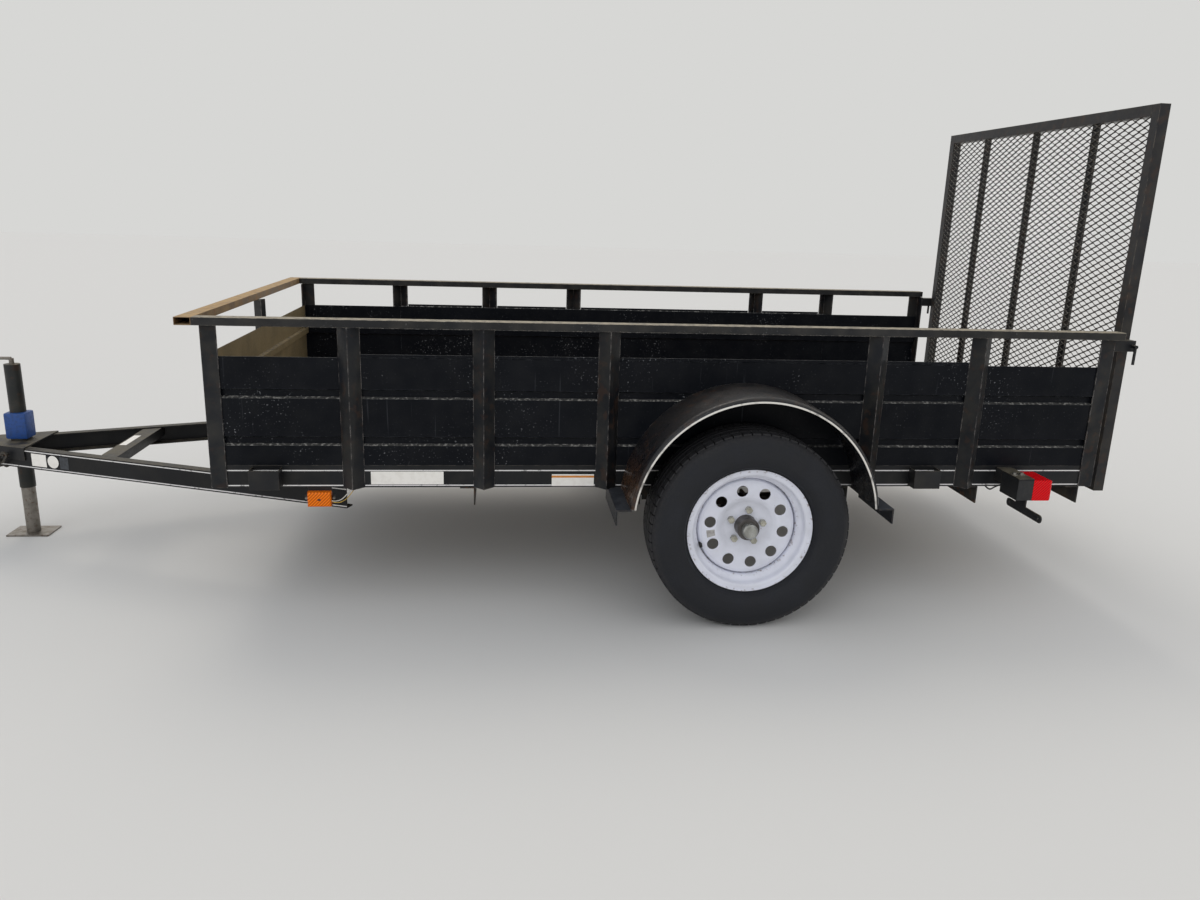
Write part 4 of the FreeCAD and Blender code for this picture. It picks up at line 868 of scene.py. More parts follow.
def weave_tree() -> bpy.types.NodeTree:
    """Tree that lays half strands of one slope in a grid, on every other cell, as in expanded metal.

    Returns:
        The tree, with inputs Columns, Rows, Start, Pitch, Rise, Parity and Material.
    """
    tree, entry = geometry_tree("expanded", {"Columns": 1, "Rows": 1, "Start": (0.0, 0.0, 0.0),
                                             "Pitch": 0.1, "Rise": 0.1, "Parity": 0,
                                             "Material": bpy.data.materials.new("blank")})
    columns, rows = entry.outputs["Columns"], entry.outputs["Rows"]
    total = add(tree, "ShaderNodeMath", TIMES, (columns, rows))
    points = add(tree, "GeometryNodePoints", {}, {"Count": total.outputs[0]})
    index = add(tree, "GeometryNodeInputIndex").outputs[0]
    # Row and column of each cell, counted along a row first
    nudged = add(tree, "ShaderNodeMath", {"operation": "ADD"}, (index, 0.5))
    share = add(tree, "ShaderNodeMath", {"operation": "DIVIDE"}, (nudged.outputs[0], columns))
    row = add(tree, "ShaderNodeMath", {"operation": "FLOOR"}, (share.outputs[0],)).outputs[0]
    before = add(tree, "ShaderNodeMath", TIMES, (row, columns))
    column = add(tree, "ShaderNodeMath", {"operation": "SUBTRACT"}, (index, before.outputs[0])).outputs[0]
    # Middle of the cell
    halfway = [add(tree, "ShaderNodeMath", {"operation": "ADD"}, (count, 0.5)) for count in (column, row)]
    along, up = (add(tree, "ShaderNodeMath", TIMES, (count.outputs[0], entry.outputs[size])).outputs[0]
                 for count, size in zip(halfway, ("Pitch", "Rise")))
    cell = add(tree, "ShaderNodeCombineXYZ", {}, {"Y": along, "Z": up})
    place = add(tree, "ShaderNodeVectorMath", {"operation": "ADD"}, (cell.outputs[0], entry.outputs["Start"]))
    moved = add(tree, "GeometryNodeSetPosition", {},
                {"Geometry": points.outputs[0], "Position": place.outputs[0]})
    # Every other cell, as on the squares of one colour of a chess board
    both = add(tree, "ShaderNodeMath", {"operation": "ADD"}, (row, column))
    odd = add(tree, "ShaderNodeMath", {"operation": "FLOORED_MODULO"}, (both.outputs[0], 2.0))
    off = add(tree, "ShaderNodeMath", {"operation": "SUBTRACT"}, (odd.outputs[0], entry.outputs["Parity"]))
    apart = add(tree, "ShaderNodeMath", {"operation": "ABSOLUTE"}, (off.outputs[0],))
    same = add(tree, "ShaderNodeMath", {"operation": "LESS_THAN"}, (apart.outputs[0], 0.5))
    placed = add(tree, "GeometryNodeInstanceOnPoints", {},
                 {"Points": moved.outputs[0], "Instance": entry.outputs["Geometry"],
                  "Selection": same.outputs[0]})
    close_tree(tree, placed.outputs[0], entry)
    return tree


def spots_mesh(name: str, spots: Sequence[Spot]) -> bpy.types.Mesh:
    """Seed mesh of loose points that carry an aim.

    Args:
        name: Name of the mesh.
        spots: Place and aim of each point.

    Returns:
        The mesh.
    """
    mesh = bpy.data.meshes.new(name)
    mesh.from_pydata([place for place, _ in spots], [], [])
    aims = mesh.attributes.new("aim", "FLOAT_VECTOR", "POINT")
    for item, (_, aim) in zip(aims.data, spots):
        item.vector = aim
    return mesh


def tube_piece(name: str, path: Sequence[Triple], radius: float, material: bpy.types.Material,
               sides: int = 10) -> bpy.types.Object:
    """Round tube along a smooth line.

    Args:
        name: Name of the piece.
        path: Points that the line follows.
        radius: Radius in metres.
        material: Its finish.
        sides: Corners of its section.

    Returns:
        The piece.
    """
    curve = bpy.data.curves.new(name, "CURVE")
    curve.dimensions = "3D"
    spline = curve.splines.new("NURBS")
    spline.points.add(len(path) - 1)
    for point, place in zip(spline.points, path):
        point.co = (*place, 1.0)
    spline.order_u = 3
    spline.use_endpoint_u = True
    curve.bevel_depth = radius
    curve.bevel_resolution = max(sides // 4 - 1, 0)
    curve.use_fill_caps = True
    carrier = bpy.data.objects.new(name + "_line", curve)
    bpy.context.scene.collection.objects.link(carrier)
    mesh = bpy.data.meshes.new_from_object(carrier.evaluated_get(bpy.context.evaluated_depsgraph_get()))
    bpy.data.objects.remove(carrier)
    return dressed(name, mesh, material)


def block_piece(name: str, low: Triple, high: Triple, bevel: float,
                material: bpy.types.Material) -> bpy.types.Object:
    """Block with rounded corners between two points.

    Args:
        name: Name of the piece.
        low: Lowest corner.
        high: Highest corner.
        bevel: Radius of its corners.
        material: Its finish.

    Returns:
        The piece.
    """
    shape = bmesh.new()
    bmesh.ops.create_cube(shape, size=1.0)
    middle = (Vector(low) + Vector(high)) / 2
    size = Vector(high) - Vector(low)
    bmesh.ops.transform(shape, matrix=Matrix.Translation(middle) @ Matrix.Diagonal((*size, 1.0)),
                        verts=shape.verts)
    bmesh.ops.bevel(shape, geom=list(shape.edges), offset=bevel, segments=2, affect="EDGES", profile=0.6)
    mesh = bpy.data.meshes.new(name)
    shape.to_mesh(mesh)
    shape.free()
    return dressed(name, mesh, material)


@dataclass
class Setting:
    """The photograph's camera, a pale floor and soft studio light.

    Attributes:
        camera_place_mm: Place of the camera.
        yaw: Turn of the view from straight across the trailer, in radians.
        pitch: Drop of the view, in radians.
        roll: Tilt of the picture, in radians.
        focal_px: Focal length in pixels of the photograph.
        image_width_px: Width of the photograph.
        sensor_mm: Width of the sensor.
        view_limit: Farthest distance that the camera shows, in metres.
        floor_size: Width of the floor, in metres.
        floor_colour: Colour of the floor.
        light_colour: Colour of the world's light on the trailer.
        light_strength: Strength of that light.
        backdrop_colour: Colour that the camera and reflections see.
        gloss_share: Share of the backdrop in reflections.
    """

    camera_place_mm: Triple = (-53.8, 3739.8, 1339.6)
    yaw: float = -0.112
    pitch: float = 0.257
    roll: float = 0.031
    focal_px: float = 915.1
    image_width_px: float = 1200.0
    sensor_mm: float = 36.0
    view_limit: float = 200.0
    floor_size: float = 60.0
    floor_colour: str = "#D6D6D4"
    light_colour: str = "#F6F7FA"
    light_strength: float = 0.80
    backdrop_colour: str = "#D7D7D5"
    gloss_share: float = 0.75

    def camera(self) -> None:
        """Put the camera where the photograph was taken."""
        ahead = Vector((math.sin(self.yaw) * math.cos(self.pitch),
                        -math.cos(self.yaw) * math.cos(self.pitch), -math.sin(self.pitch)))
        level = Vector((-math.cos(self.yaw), -math.sin(self.yaw), 0.0))
        above = level.cross(ahead)
        right = level * math.cos(self.roll) + above * math.sin(self.roll)
        up = right.cross(ahead)
        data = bpy.data.cameras.new("view")
        data.sensor_width = self.sensor_mm
        data.lens = self.focal_px * self.sensor_mm / self.image_width_px
        data.clip_end = self.view_limit
        camera = bpy.data.objects.new("view", data)
        turn = Matrix((right, up, -ahead)).transposed().to_4x4()
        camera.matrix_world = Matrix.Translation(Vector(self.camera_place_mm) * MM) @ turn
        bpy.context.scene.collection.objects.link(camera)
        bpy.context.scene.camera = camera

    def floor(self) -> None:
        """Lay the pale floor."""
        half = self.floor_size / 2
        surface = Surface("studio_floor", self.floor_colour)
        surface.shader.inputs["Base Color"].default_value = linear(self.floor_colour)
        surface.constants(roughness=0.9, specular_ior_level=0.1)
        floor = mesh_piece("floor", [(-half, -half, 0), (half, -half, 0), (half, half, 0), (-half, half, 0)],
                           [(0, 1, 2, 3)], surface.material, smooth=False)

    def sky(self) -> None:
        """Light the world, and show the camera and reflections a pale backdrop."""
        world = bpy.data.worlds.new("studio")
        world.use_nodes = True
        tree = world.node_tree
        tree.nodes.clear()
        ray = add(tree, "ShaderNodeLightPath").outputs
        gloss = add(tree, "ShaderNodeMath", TIMES, (ray["Is Glossy Ray"], self.gloss_share))
        seen = add(tree, "ShaderNodeMath", {"operation": "MAXIMUM"}, (ray["Is Camera Ray"], gloss.outputs[0]))
        seen = add(tree, "ShaderNodeMath", {"operation": "MAXIMUM"},
                   (seen.outputs[0], ray["Is Transmission Ray"]))
        light = add(tree, "ShaderNodeBackground", {},
                    {"Color": linear(self.light_colour), "Strength": self.light_strength})
        view = add(tree, "ShaderNodeBackground", {},
                   {"Color": linear(self.backdrop_colour), "Strength": 1.0})
        both = add(tree, "ShaderNodeMixShader", {}, (seen.outputs[0], light.outputs[0], view.outputs[0]))
        end = tree.nodes.new("ShaderNodeOutputWorld")
        tree.links.new(both.outputs[0], end.inputs[0])
        bpy.context.scene.world = world

    def lamp(self, name: str, place: Triple, spread_deg: float, strength: float, tint: str) -> None:
        """Hang a soft lamp far away, so that it lights the floor evenly.

        Args:
            name: Name of the lamp.
            place: Direction that its light comes from.
            spread_deg: Width of its face as seen from the trailer.
            strength: Its power on a face that looks at it.
            tint: Its colour.
        """
        data = bpy.data.lights.new(name, "SUN")
        data.angle = math.radians(spread_deg)
        data.energy = strength
        data.color = linear(tint)[:3]
        lamp = bpy.data.objects.new(name, data)
        lamp.matrix_world = (-Vector(place)).to_track_quat("-Z", "Y").to_matrix().to_4x4()
        bpy.context.scene.collection.objects.link(lamp)

    def build(self) -> None:
        """Set up everything round the trailer."""
        self.camera()
        self.floor()
        self.sky()
        # Columns: name, direction, spread in degrees, strength, tint
        lamps = (("key", (1.5, -6.5, 8.5), 32.0, 0.62, "#FFF6E8"),
                 ("rear", (-8.0, -2.0, 5.0), 36.0, 0.30, "#FFF4E2"),
                 ("front", (4.0, 7.5, 5.0), 40.0, 0.36, "#F4F8FF"))
        for row in lamps:
            self.lamp(*row)
        scene = bpy.context.scene
        scene.view_settings.view_transform = "Standard"


@dataclass
class Wheel:
    """A road wheel: ribbed tyre on a white pressed-steel rim.

    Attributes (lengths in metres):
        side: Side of the trailer.
        centre: Middle of the wheel.
        tyre_radius: Radius over the tread.
        tyre_half_width: Half of the tyre's width.
        rubber, white, dark, vinyl: Finishes of the tyre, the rim, the valve and the label.
        ring: Tree that repeats a piece round the axle.
        steps: Steps round the tyre and the barrel.
        tread_half: Half of the tread's width.
        tread_depth: Depth of the grooves.
        crown_drop: How much lower the tread is at its shoulder than in its middle.
        pitches: Blocks round the tread.
        groove: Width of the grooves.
        shoulder, middle_rib: Distances out of the shoulder's and the middle rib's grooves.
        block_foot: Depth of the blocks' feet in the carcass.
        disc_holes, hole_circle, hole_radius, hole_turn_deg: Number, circle, size and turn of the holes.
        hole_lip: How far in the holes' edges are turned.
        hole_dish: How deep the face dishes round a hole.
        patch_low, patch_high: Radii between which the disc is built round its holes.
        disc_bore, disc_edge: Radii where the disc begins and ends.
        disc_wall, barrel_wall: Thickness of the disc and the barrel.
        well_radius: Radius of the barrel's well.
        valve_turn_deg, valve_circle, valve_radius: Turn, circle and size of the valve.
        valve_root, valve_lean, valve_length: How deep the valve starts, leans out and reaches.
        label_low, label_high, label_turn_deg, label_half: Radii, turn and half angle of the label.
        label_lift, label_skin: How far the label's face stands out, and its thickness.
    """

    side: Side
    centre: Triple
    tyre_radius: float
    tyre_half_width: float
    rubber: bpy.types.Material
    white: bpy.types.Material
    dark: bpy.types.Material
    vinyl: bpy.types.Material
    ring: bpy.types.NodeTree
    steps: int = 160
    tread_half: float = 0.076
    tread_depth: float = 0.0075
    crown_drop: float = 0.0035
    pitches: int = 66
    groove: float = 0.0075
    shoulder: float = 0.050
    middle_rib: float = 0.0165
    block_foot: float = 0.001
    disc_holes: int = 10
    hole_circle: float = 0.125
    hole_radius: float = 0.0192
    hole_turn_deg: float = 8.0
    hole_lip: float = 0.0045
    hole_dish: float = 0.0016
    patch_low: float = 0.098
    patch_high: float = 0.152
    disc_bore: float = 0.038
    disc_edge: float = 0.1675
    disc_wall: float = 0.0035
    barrel_wall: float = 0.0028
    well_radius: float = 0.171
    valve_turn_deg: float = -21.5
    valve_circle: float = 0.162
    valve_radius: float = 0.0055
    valve_root: float = 0.006
    valve_lean: float = 0.004
    valve_length: float = 0.030
    label_low: float = 0.108
    label_high: float = 0.136
    label_turn_deg: float = -10.0
    label_half: float = 0.095
    label_lift: float = 0.0004
    label_skin: float = 0.0003

    @property
    def body(self) -> str:
        """The body that the wheel turns with."""
        return Body["WHEEL_" + self.side.name].value

    def crown(self, out: float) -> float:
        """Radius of the tread's surface at a distance from the wheel's plane."""
        return self.tyre_radius - self.crown_drop * (out / self.tread_half) ** 2

    def wall_line(self) -> list[Pair]:
        """Outer wall of the tyre from its bead to the foot of the tread.

        Returns:
            Points of (distance outward, radius).
        """
        # Columns: distance out from the wheel's plane, radius, in millimetres
        points = ((60.0, 203.0), (66.0, 211.0), (76.0, 216.5), (90.0, 226.0), (98.5, 243.0),
                  (101.2, 264.0), (99.6, 286.0), (95.0, 304.0), (87.5, 318.5), (79.0, 326.0))
        line = [(out * MM, radius * MM) for out, radius in smooth_line(points, 6)]
        # Columns: radius, width and height of each moulded ring, in millimetres
        rings = ((223.0, 1.6, 1.4), (246.0, 1.3, 0.5), (283.0, 1.3, 0.6), (309.0, 2.0, 0.9))
        raised = []
        for out, radius in line:
            ridge = sum(height * math.exp(-((radius / MM - at) / width) ** 2)
                        for at, width, height in rings)
            raised.append((min(out + ridge * MM, self.tyre_half_width), radius))
        return raised

    def carcass(self) -> tuple[list[Triple], list[tuple[int, ...]]]:
        """Closed skin of the tyre at the bottom of its grooves.

        Returns:
            Corners and faces.
        """
        # Distances out of the groove floor's points, in millimetres
        floor_points = (74.0, 50.0, 25.0, 0.0)
        floor = [(out * MM, self.crown(out * MM) - self.tread_depth) for out in floor_points]
        half = self.wall_line() + floor
        profile = half + [(-out, radius) for out, radius in reversed(half[:-1])]
        return revolved(profile, self.centre, self.side, self.steps)

    def pitch_mesh(self) -> tuple[list[Triple], list[tuple[int, ...]]]:
        """One pitch of the tread: the blocks of five ribs, split at the shoulders.

        Returns:
            Corners and faces of the blocks at the wheel's front.
        """
        step = math.tau / self.pitches
        shoulder, middle = self.shoulder, self.middle_rib
        # Columns: inner edge, outer edge, share of the pitch that is rubber, skew
        ribs = ((-self.tread_half, -shoulder, 0.86, 0.0), (-shoulder + self.groove, -middle, 0.93, 0.12),
                (-middle + self.groove, middle - self.groove, 1.0, 0.0),
                (middle, shoulder - self.groove, 0.93, -0.12), (shoulder, self.tread_half, 0.86, 0.0))
        corners, faces = [], []
        slices = 3
        for low, high, share, skew in ribs:
            base = len(corners)
            for k in range(slices + 1):
                for out, shift in ((low, -skew), (high, skew)):
                    turn = step * (share * k / slices + shift)
                    top = self.crown(out)
                    for radius in (top - self.tread_depth - self.block_foot, top):
                        corners.append((self.centre[0] + radius * math.cos(turn),
                                        self.centre[1] + out,
                                        self.centre[2] + radius * math.sin(turn)))
            for k in range(slices):
                a = base + 4 * k
                b = a + 4
                faces += [(a + 1, a + 3, b + 3, b + 1), (a, b, b + 2, a + 2), (a, a + 1, b + 1, b),
                          (a + 2, b + 2, b + 3, a + 3)]
            end = base + 4 * slices
            faces += [(base, base + 2, base + 3, base + 1), (end, end + 1, end + 3, end + 2)]
        return corners, faces

    def tyre(self) -> bpy.types.Object:
        """Tyre with its walls and tread blocks, in place of the plain one.

        Returns:
            The piece.
        """
        name = f"tyre_{self.side.word}_moulded"
        carcass = mesh_piece(name + "_carcass", *self.carcass(), self.rubber)
        block = mesh_piece(name + "_pitch", *self.pitch_mesh(), self.rubber)
        tread = grown(name + "_tread", block.data, self.ring,
                      {"Count": self.pitches, "Centre": self.centre, "Phase": 0.0, "Material": self.rubber})
        bpy.data.objects.remove(block)
        return joined(name, [carcass, tread])

    def disc_out(self, radius: float) -> float:
        """How far out the pressed disc's face lies at a radius.

        Args:
            radius: Distance from the axle, in metres.

        Returns:
            Distance out from the wheel's plane, in metres.
        """
        # Columns: radius, distance out, in millimetres
        line = ((38.0, 8.0), (60.0, 8.0), (72.0, 8.4), (82.0, 12.0), (94.0, 19.5), (104.0, 23.4),
                (116.0, 24.6), (136.0, 24.6), (150.0, 23.4), (160.0, 20.0), (164.5, 12.0), (166.5, 3.0),
                (167.5, -4.0))
        r = min(max(radius / MM, line[0][0]), line[-1][0])
        for (r0, o0), (r1, o1) in zip(line, line[1:]):
            if r <= r1:
                t = (r - r0) / (r1 - r0)
                t = t * t * (3 - 2 * t) if abs(o1 - o0) > 3.0 and r1 < 166.0 else t
                return (o0 + (o1 - o0) * t) * MM
        return line[-1][1] * MM

    def disc_point(self, radius: float, turn: float, sink: float = 0.0) -> Triple:
        """Place on the disc's face, sunk inward by a distance."""
        return (self.centre[0] + radius * math.cos(turn),
                self.centre[1] + self.side.value * (self.disc_out(radius) - sink),
                self.centre[2] + radius * math.sin(turn))

    def patch_rim(self, half: float, arc_steps: int, side_steps: int) -> list[Pair]:
        """Outline of the disc's patch about one hole.

        Args:
            half: Half of the patch's angle.
            arc_steps: Steps along its inner and outer arc.
            side_steps: Steps along its straight sides.

        Returns:
            Points of (radius, turn from the hole's middle), once round.
        """
        low, high = self.patch_low, self.patch_high
        rim = [(low, -half + 2 * half * k / arc_steps) for k in range(arc_steps)]
        rim += [(low + (high - low) * k / side_steps, half) for k in range(side_steps)]
        rim += [(high, half - 2 * half * k / arc_steps) for k in range(arc_steps)]
        rim += [(high - (high - low) * k / side_steps, -half) for k in range(side_steps)]
        return rim

    def hole_corners(self, rim: Sequence[Pair], middle: float, wraps: int) -> list[Triple]:
        """Corners of one patch, from the turned-in lip of its hole out to its outline.

        Args:
            rim: Outline of the patch.
            middle: Turn of the hole's middle.
            wraps: Rows of faces between the hole's edge and the outline.

        Returns:
            Rows of corners, each as long as the outline.
        """
        corners = []
        heart = Vector((self.hole_circle, 0.0))
        for wrap in range(wraps + 2):
            share = max(wrap - 1, 0) / wraps
            sink = self.hole_lip if wrap == 0 else self.hole_dish * math.exp(-(share * wraps) ** 2)
            for radius, turn in rim:
                far = Vector((radius * math.cos(turn), radius * math.sin(turn)))
                edge = heart + (far - heart).normalized() * self.hole_radius
                flat = edge.lerp(far, share ** 1.4)
                corners.append(self.disc_point(flat.length, middle + math.atan2(flat.y, flat.x), sink))
        return corners

    def disc(self) -> bpy.types.Object:
        """Pressed disc with turned-in holes, as patches that wrap each hole and plain rings.

        Returns:
            The piece.
        """
        arc_steps, side_steps, wraps = 12, 8, 6
        half = math.pi / self.disc_holes
        rim = self.patch_rim(half, arc_steps, side_steps)
        corners, faces = [], []
        for hole in range(self.disc_holes):
            middle = math.radians(self.hole_turn_deg) + hole * 2 * half
            faces += banded(len(corners), wraps + 1, len(rim))
            corners += self.hole_corners(rim, middle, wraps)
        steps = arc_steps * self.disc_holes
        start = math.radians(self.hole_turn_deg) - half
        plain = ((self.disc_bore, self.patch_low, 12), (self.patch_high, self.disc_edge, 8))
        for inner, outer, rings in plain:
            faces += banded(len(corners), rings, steps)
            for ring in range(rings + 1):
                radius = inner + (outer - inner) * ring / rings
                corners += [self.disc_point(radius, start + math.tau * k / steps) for k in range(steps)]
        piece = mesh_piece(f"disc_{self.side.word}", corners, faces, self.white)
        centre_face = max(piece.data.polygons, key=lambda f: abs(f.center.y))
        if centre_face.normal.y * self.side.value < 0:
            piece.data.flip_normals()
        return thickened(piece, self.disc_wall)

    def barrel(self) -> bpy.types.Object:
        """Rolled barrel of the rim with its lip.

        Returns:
            The piece.
        """
        # Columns: distance out, radius, in millimetres, from the edge of the lip to the well
        points = ((70.2, 205.6), (71.2, 208.6), (69.4, 210.3), (66.6, 209.4), (64.4, 205.5), (63.7, 198.0),
                  (62.0, 191.6), (54.0, 189.4), (42.0, 188.8), (33.0, 184.0), (24.0, 173.4), (16.0, 171.0))
        outer = [(out * MM, radius * MM) for out, radius in smooth_line(points, 3)]
        half = outer + [(0.0, self.well_radius)]
        profile = half + [(-out, radius) for out, radius in reversed(outer)]
        corners, faces = revolved(profile, self.centre, self.side, self.steps, closed=False)
        piece = mesh_piece(f"barrel_{self.side.word}", corners, faces, self.white)
        well = min(piece.data.polygons, key=lambda f: abs(f.center.y - self.centre[1]))
        inward = Vector(self.centre) - well.center
        if well.normal.dot(inward) > 0:
            piece.data.flip_normals()
        return thickened(piece, self.barrel_wall)

    def valve(self) -> bpy.types.Object:
        """Rubber valve stem through the disc.

        Returns:
            The piece.
        """
        turn = math.radians(self.valve_turn_deg)
        root = Vector(self.disc_point(self.valve_circle, turn, self.valve_root))
        tip = root + Vector((self.valve_lean * math.cos(turn), self.side.value * self.valve_length,
                             self.valve_lean * math.sin(turn)))
        return tube_piece(f"valve_{self.side.word}", [tuple(root), tuple(root.lerp(tip, 0.5)), tuple(tip)],
                          self.valve_radius, self.dark, 16)

    def label(self) -> bpy.types.Object:
        """Small blank label on the disc, curved with it.

        Returns:
            The piece.
        """
        start = math.radians(self.label_turn_deg) - self.label_half
        columns, rows = 8, 6
        corners, faces = [], []
        for i in range(columns + 1):
            turn = start + 2 * self.label_half * i / columns
            for k in range(rows + 1):
                radius = self.label_low + (self.label_high - self.label_low) * k / rows
                corners.append(self.disc_point(radius, turn, -self.label_lift))
        for i in range(columns):
            for k in range(rows):
                a = i * (rows + 1) + k
                faces.append((a, a + 1, a + rows + 2, a + rows + 1))
        piece = mesh_piece(f"wheel_label_{self.side.word}", corners, faces, self.vinyl)
        if piece.data.polygons[0].normal.y * self.side.value < 0:
            piece.data.flip_normals()
        return thickened(piece, self.label_skin)

    def build(self) -> list[bpy.types.Object]:
        """Build the wheel and set it on its body.

        Returns:
            Its pieces.
        """
        tyre = self.tyre()
        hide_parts("tyre_" + self.side.word)
        rim = joined(f"rim_{self.side.word}_pressed", [self.barrel(), self.disc()])
        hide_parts("rim_" + self.side.word)
        pieces = [tyre, rim, self.valve(), self.label()]
        for piece in pieces:
            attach(piece, self.body)
        return pieces


def thickened(piece: bpy.types.Object, wall: float) -> bpy.types.Object:
    """Give an open shell its wall, inward from its face.

    Args:
        piece: The shell.
        wall: Thickness in metres.

    Returns:
        The same piece with a plain mesh.
    """
    modifier = piece.modifiers.new("wall", "SOLIDIFY")
    modifier.thickness = wall
    modifier.offset = -1.0
    shown = piece.evaluated_get(bpy.context.evaluated_depsgraph_get())
    old, material, name = piece.data, piece.data.materials[0], piece.name
    mesh = bpy.data.meshes.new_from_object(shown)
    bpy.data.objects.remove(piece)
    bpy.data.meshes.remove(old)
    return dressed(name, mesh, material)


def joined(name: str, parts: Sequence[bpy.types.Object]) -> bpy.types.Object:
    """Join pieces of one finish into one.

    Args:
        name: Name of the whole.
        parts: Pieces to join.

    Returns:
        The joined piece.
    """
    whole = bmesh.new()
    material = parts[0].data.materials[0]
    for part in parts:
        whole.from_mesh(part.data)
        bpy.data.objects.remove(part)
    mesh = bpy.data.meshes.new(name)
    whole.to_mesh(mesh)
    whole.free()
    return dressed(name, mesh, material)


@dataclass
class RampMesh:
    """Expanded steel mesh of the ramp gate.

    Attributes (lengths in metres):
        low, high: Corners of the opening that it fills.
        steel: Its finish.
        tree: Tree that lays the half strands.
        long_way, short_way: Size of a diamond across and up.
        strand: Width of a strand.
        thickness: Thickness of the sheet that it was cut from.
        bond: Half length of the bonds where strands meet.
        lean_deg, twist_deg: Lean of the bonds and of the strands between them.
        proud: How far it stands behind the middle of its frame.
    """

    low: Triple
    high: Triple
    steel: bpy.types.Material
    tree: bpy.types.NodeTree
    long_way: float = 0.0508
    short_way: float = 0.0234
    strand: float = 0.0042
    thickness: float = 0.0026
    bond: float = 0.005
    lean_deg: float = 44.0
    twist_deg: float = 52.0
    proud: float = 0.0018

    def half_strand(self, pitch: float, rise: float, slope: int) -> bpy.types.Mesh:
        """Half of one diamond's side: it climbs from the front of one leaning bond to the back of the next.

        Args:
            pitch: Length of the half strand along the mesh.
            rise: Distance between rows.
            slope: One where it climbs along the mesh and minus one where it drops.

        Returns:
            The strand's mesh about the origin.
        """
        lean = math.radians(self.lean_deg)
        climb = rise - self.strand * math.cos(lean)
        # Columns: place along, share of the climb, twist in degrees
        stations = ((-pitch / 2, -0.5, -self.lean_deg), (-pitch / 2 + self.bond, -0.42, -self.twist_deg),
                    (pitch / 2 - self.bond, 0.42, -self.twist_deg), (pitch / 2, 0.5, -self.lean_deg))
        corners, faces = [], []
        for along, share, twist in stations:
            turn = math.radians(twist)
            forward = -slope * share * self.strand * math.sin(lean)
            for a, b in ((-1, -1), (1, -1), (1, 1), (-1, 1)):
                deep, tall = a * self.thickness / 2, b * self.strand / 2
                corners.append((forward + deep * math.cos(turn) - tall * math.sin(turn), along,
                                slope * share * climb + deep * math.sin(turn) + tall * math.cos(turn)))
        for k in range(len(stations) - 1):
            for m in range(4):
                n = (m + 1) % 4
                faces.append((4 * k + m, 4 * k + n, 4 * k + 4 + n, 4 * k + 4 + m))
        mesh = bpy.data.meshes.new("half_strand")
        mesh.from_pydata(corners, [], faces)
        shape = bmesh.new()
        shape.from_mesh(mesh)
        bmesh.ops.recalc_face_normals(shape, faces=shape.faces)
        along_face = max(shape.faces, key=lambda f: f.calc_center_median().x)
        if along_face.normal.x < 0:
            bmesh.ops.reverse_faces(shape, faces=shape.faces)
        shape.to_mesh(mesh)
        shape.free()
        return mesh

    def build(self) -> list[bpy.types.Object]:
        """Weave the mesh and set it on the gate.

        Returns:
            Its piece.
        """
        width, height = self.high[1] - self.low[1], self.high[2] - self.low[2]
        columns = 2 * round(width / self.long_way)
        rows = 2 * round(height / self.short_way)
        pitch, rise = width / columns, height / rows
        start = ((self.low[0] + self.high[0]) / 2 + self.proud, self.low[1], self.low[2])
        slopes = [grown(f"strands_{parity}", self.half_strand(pitch, rise, 1 - 2 * parity), self.tree,
                        {"Columns": columns, "Rows": rows, "Start": start, "Pitch": pitch,
                         "Rise": rise, "Parity": parity, "Material": self.steel})
                  for parity in (0, 1)]
        piece = joined("ramp_mesh", slopes)
        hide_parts("gate_mesh")
        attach(piece, Body.GATE.value)
        return [piece]


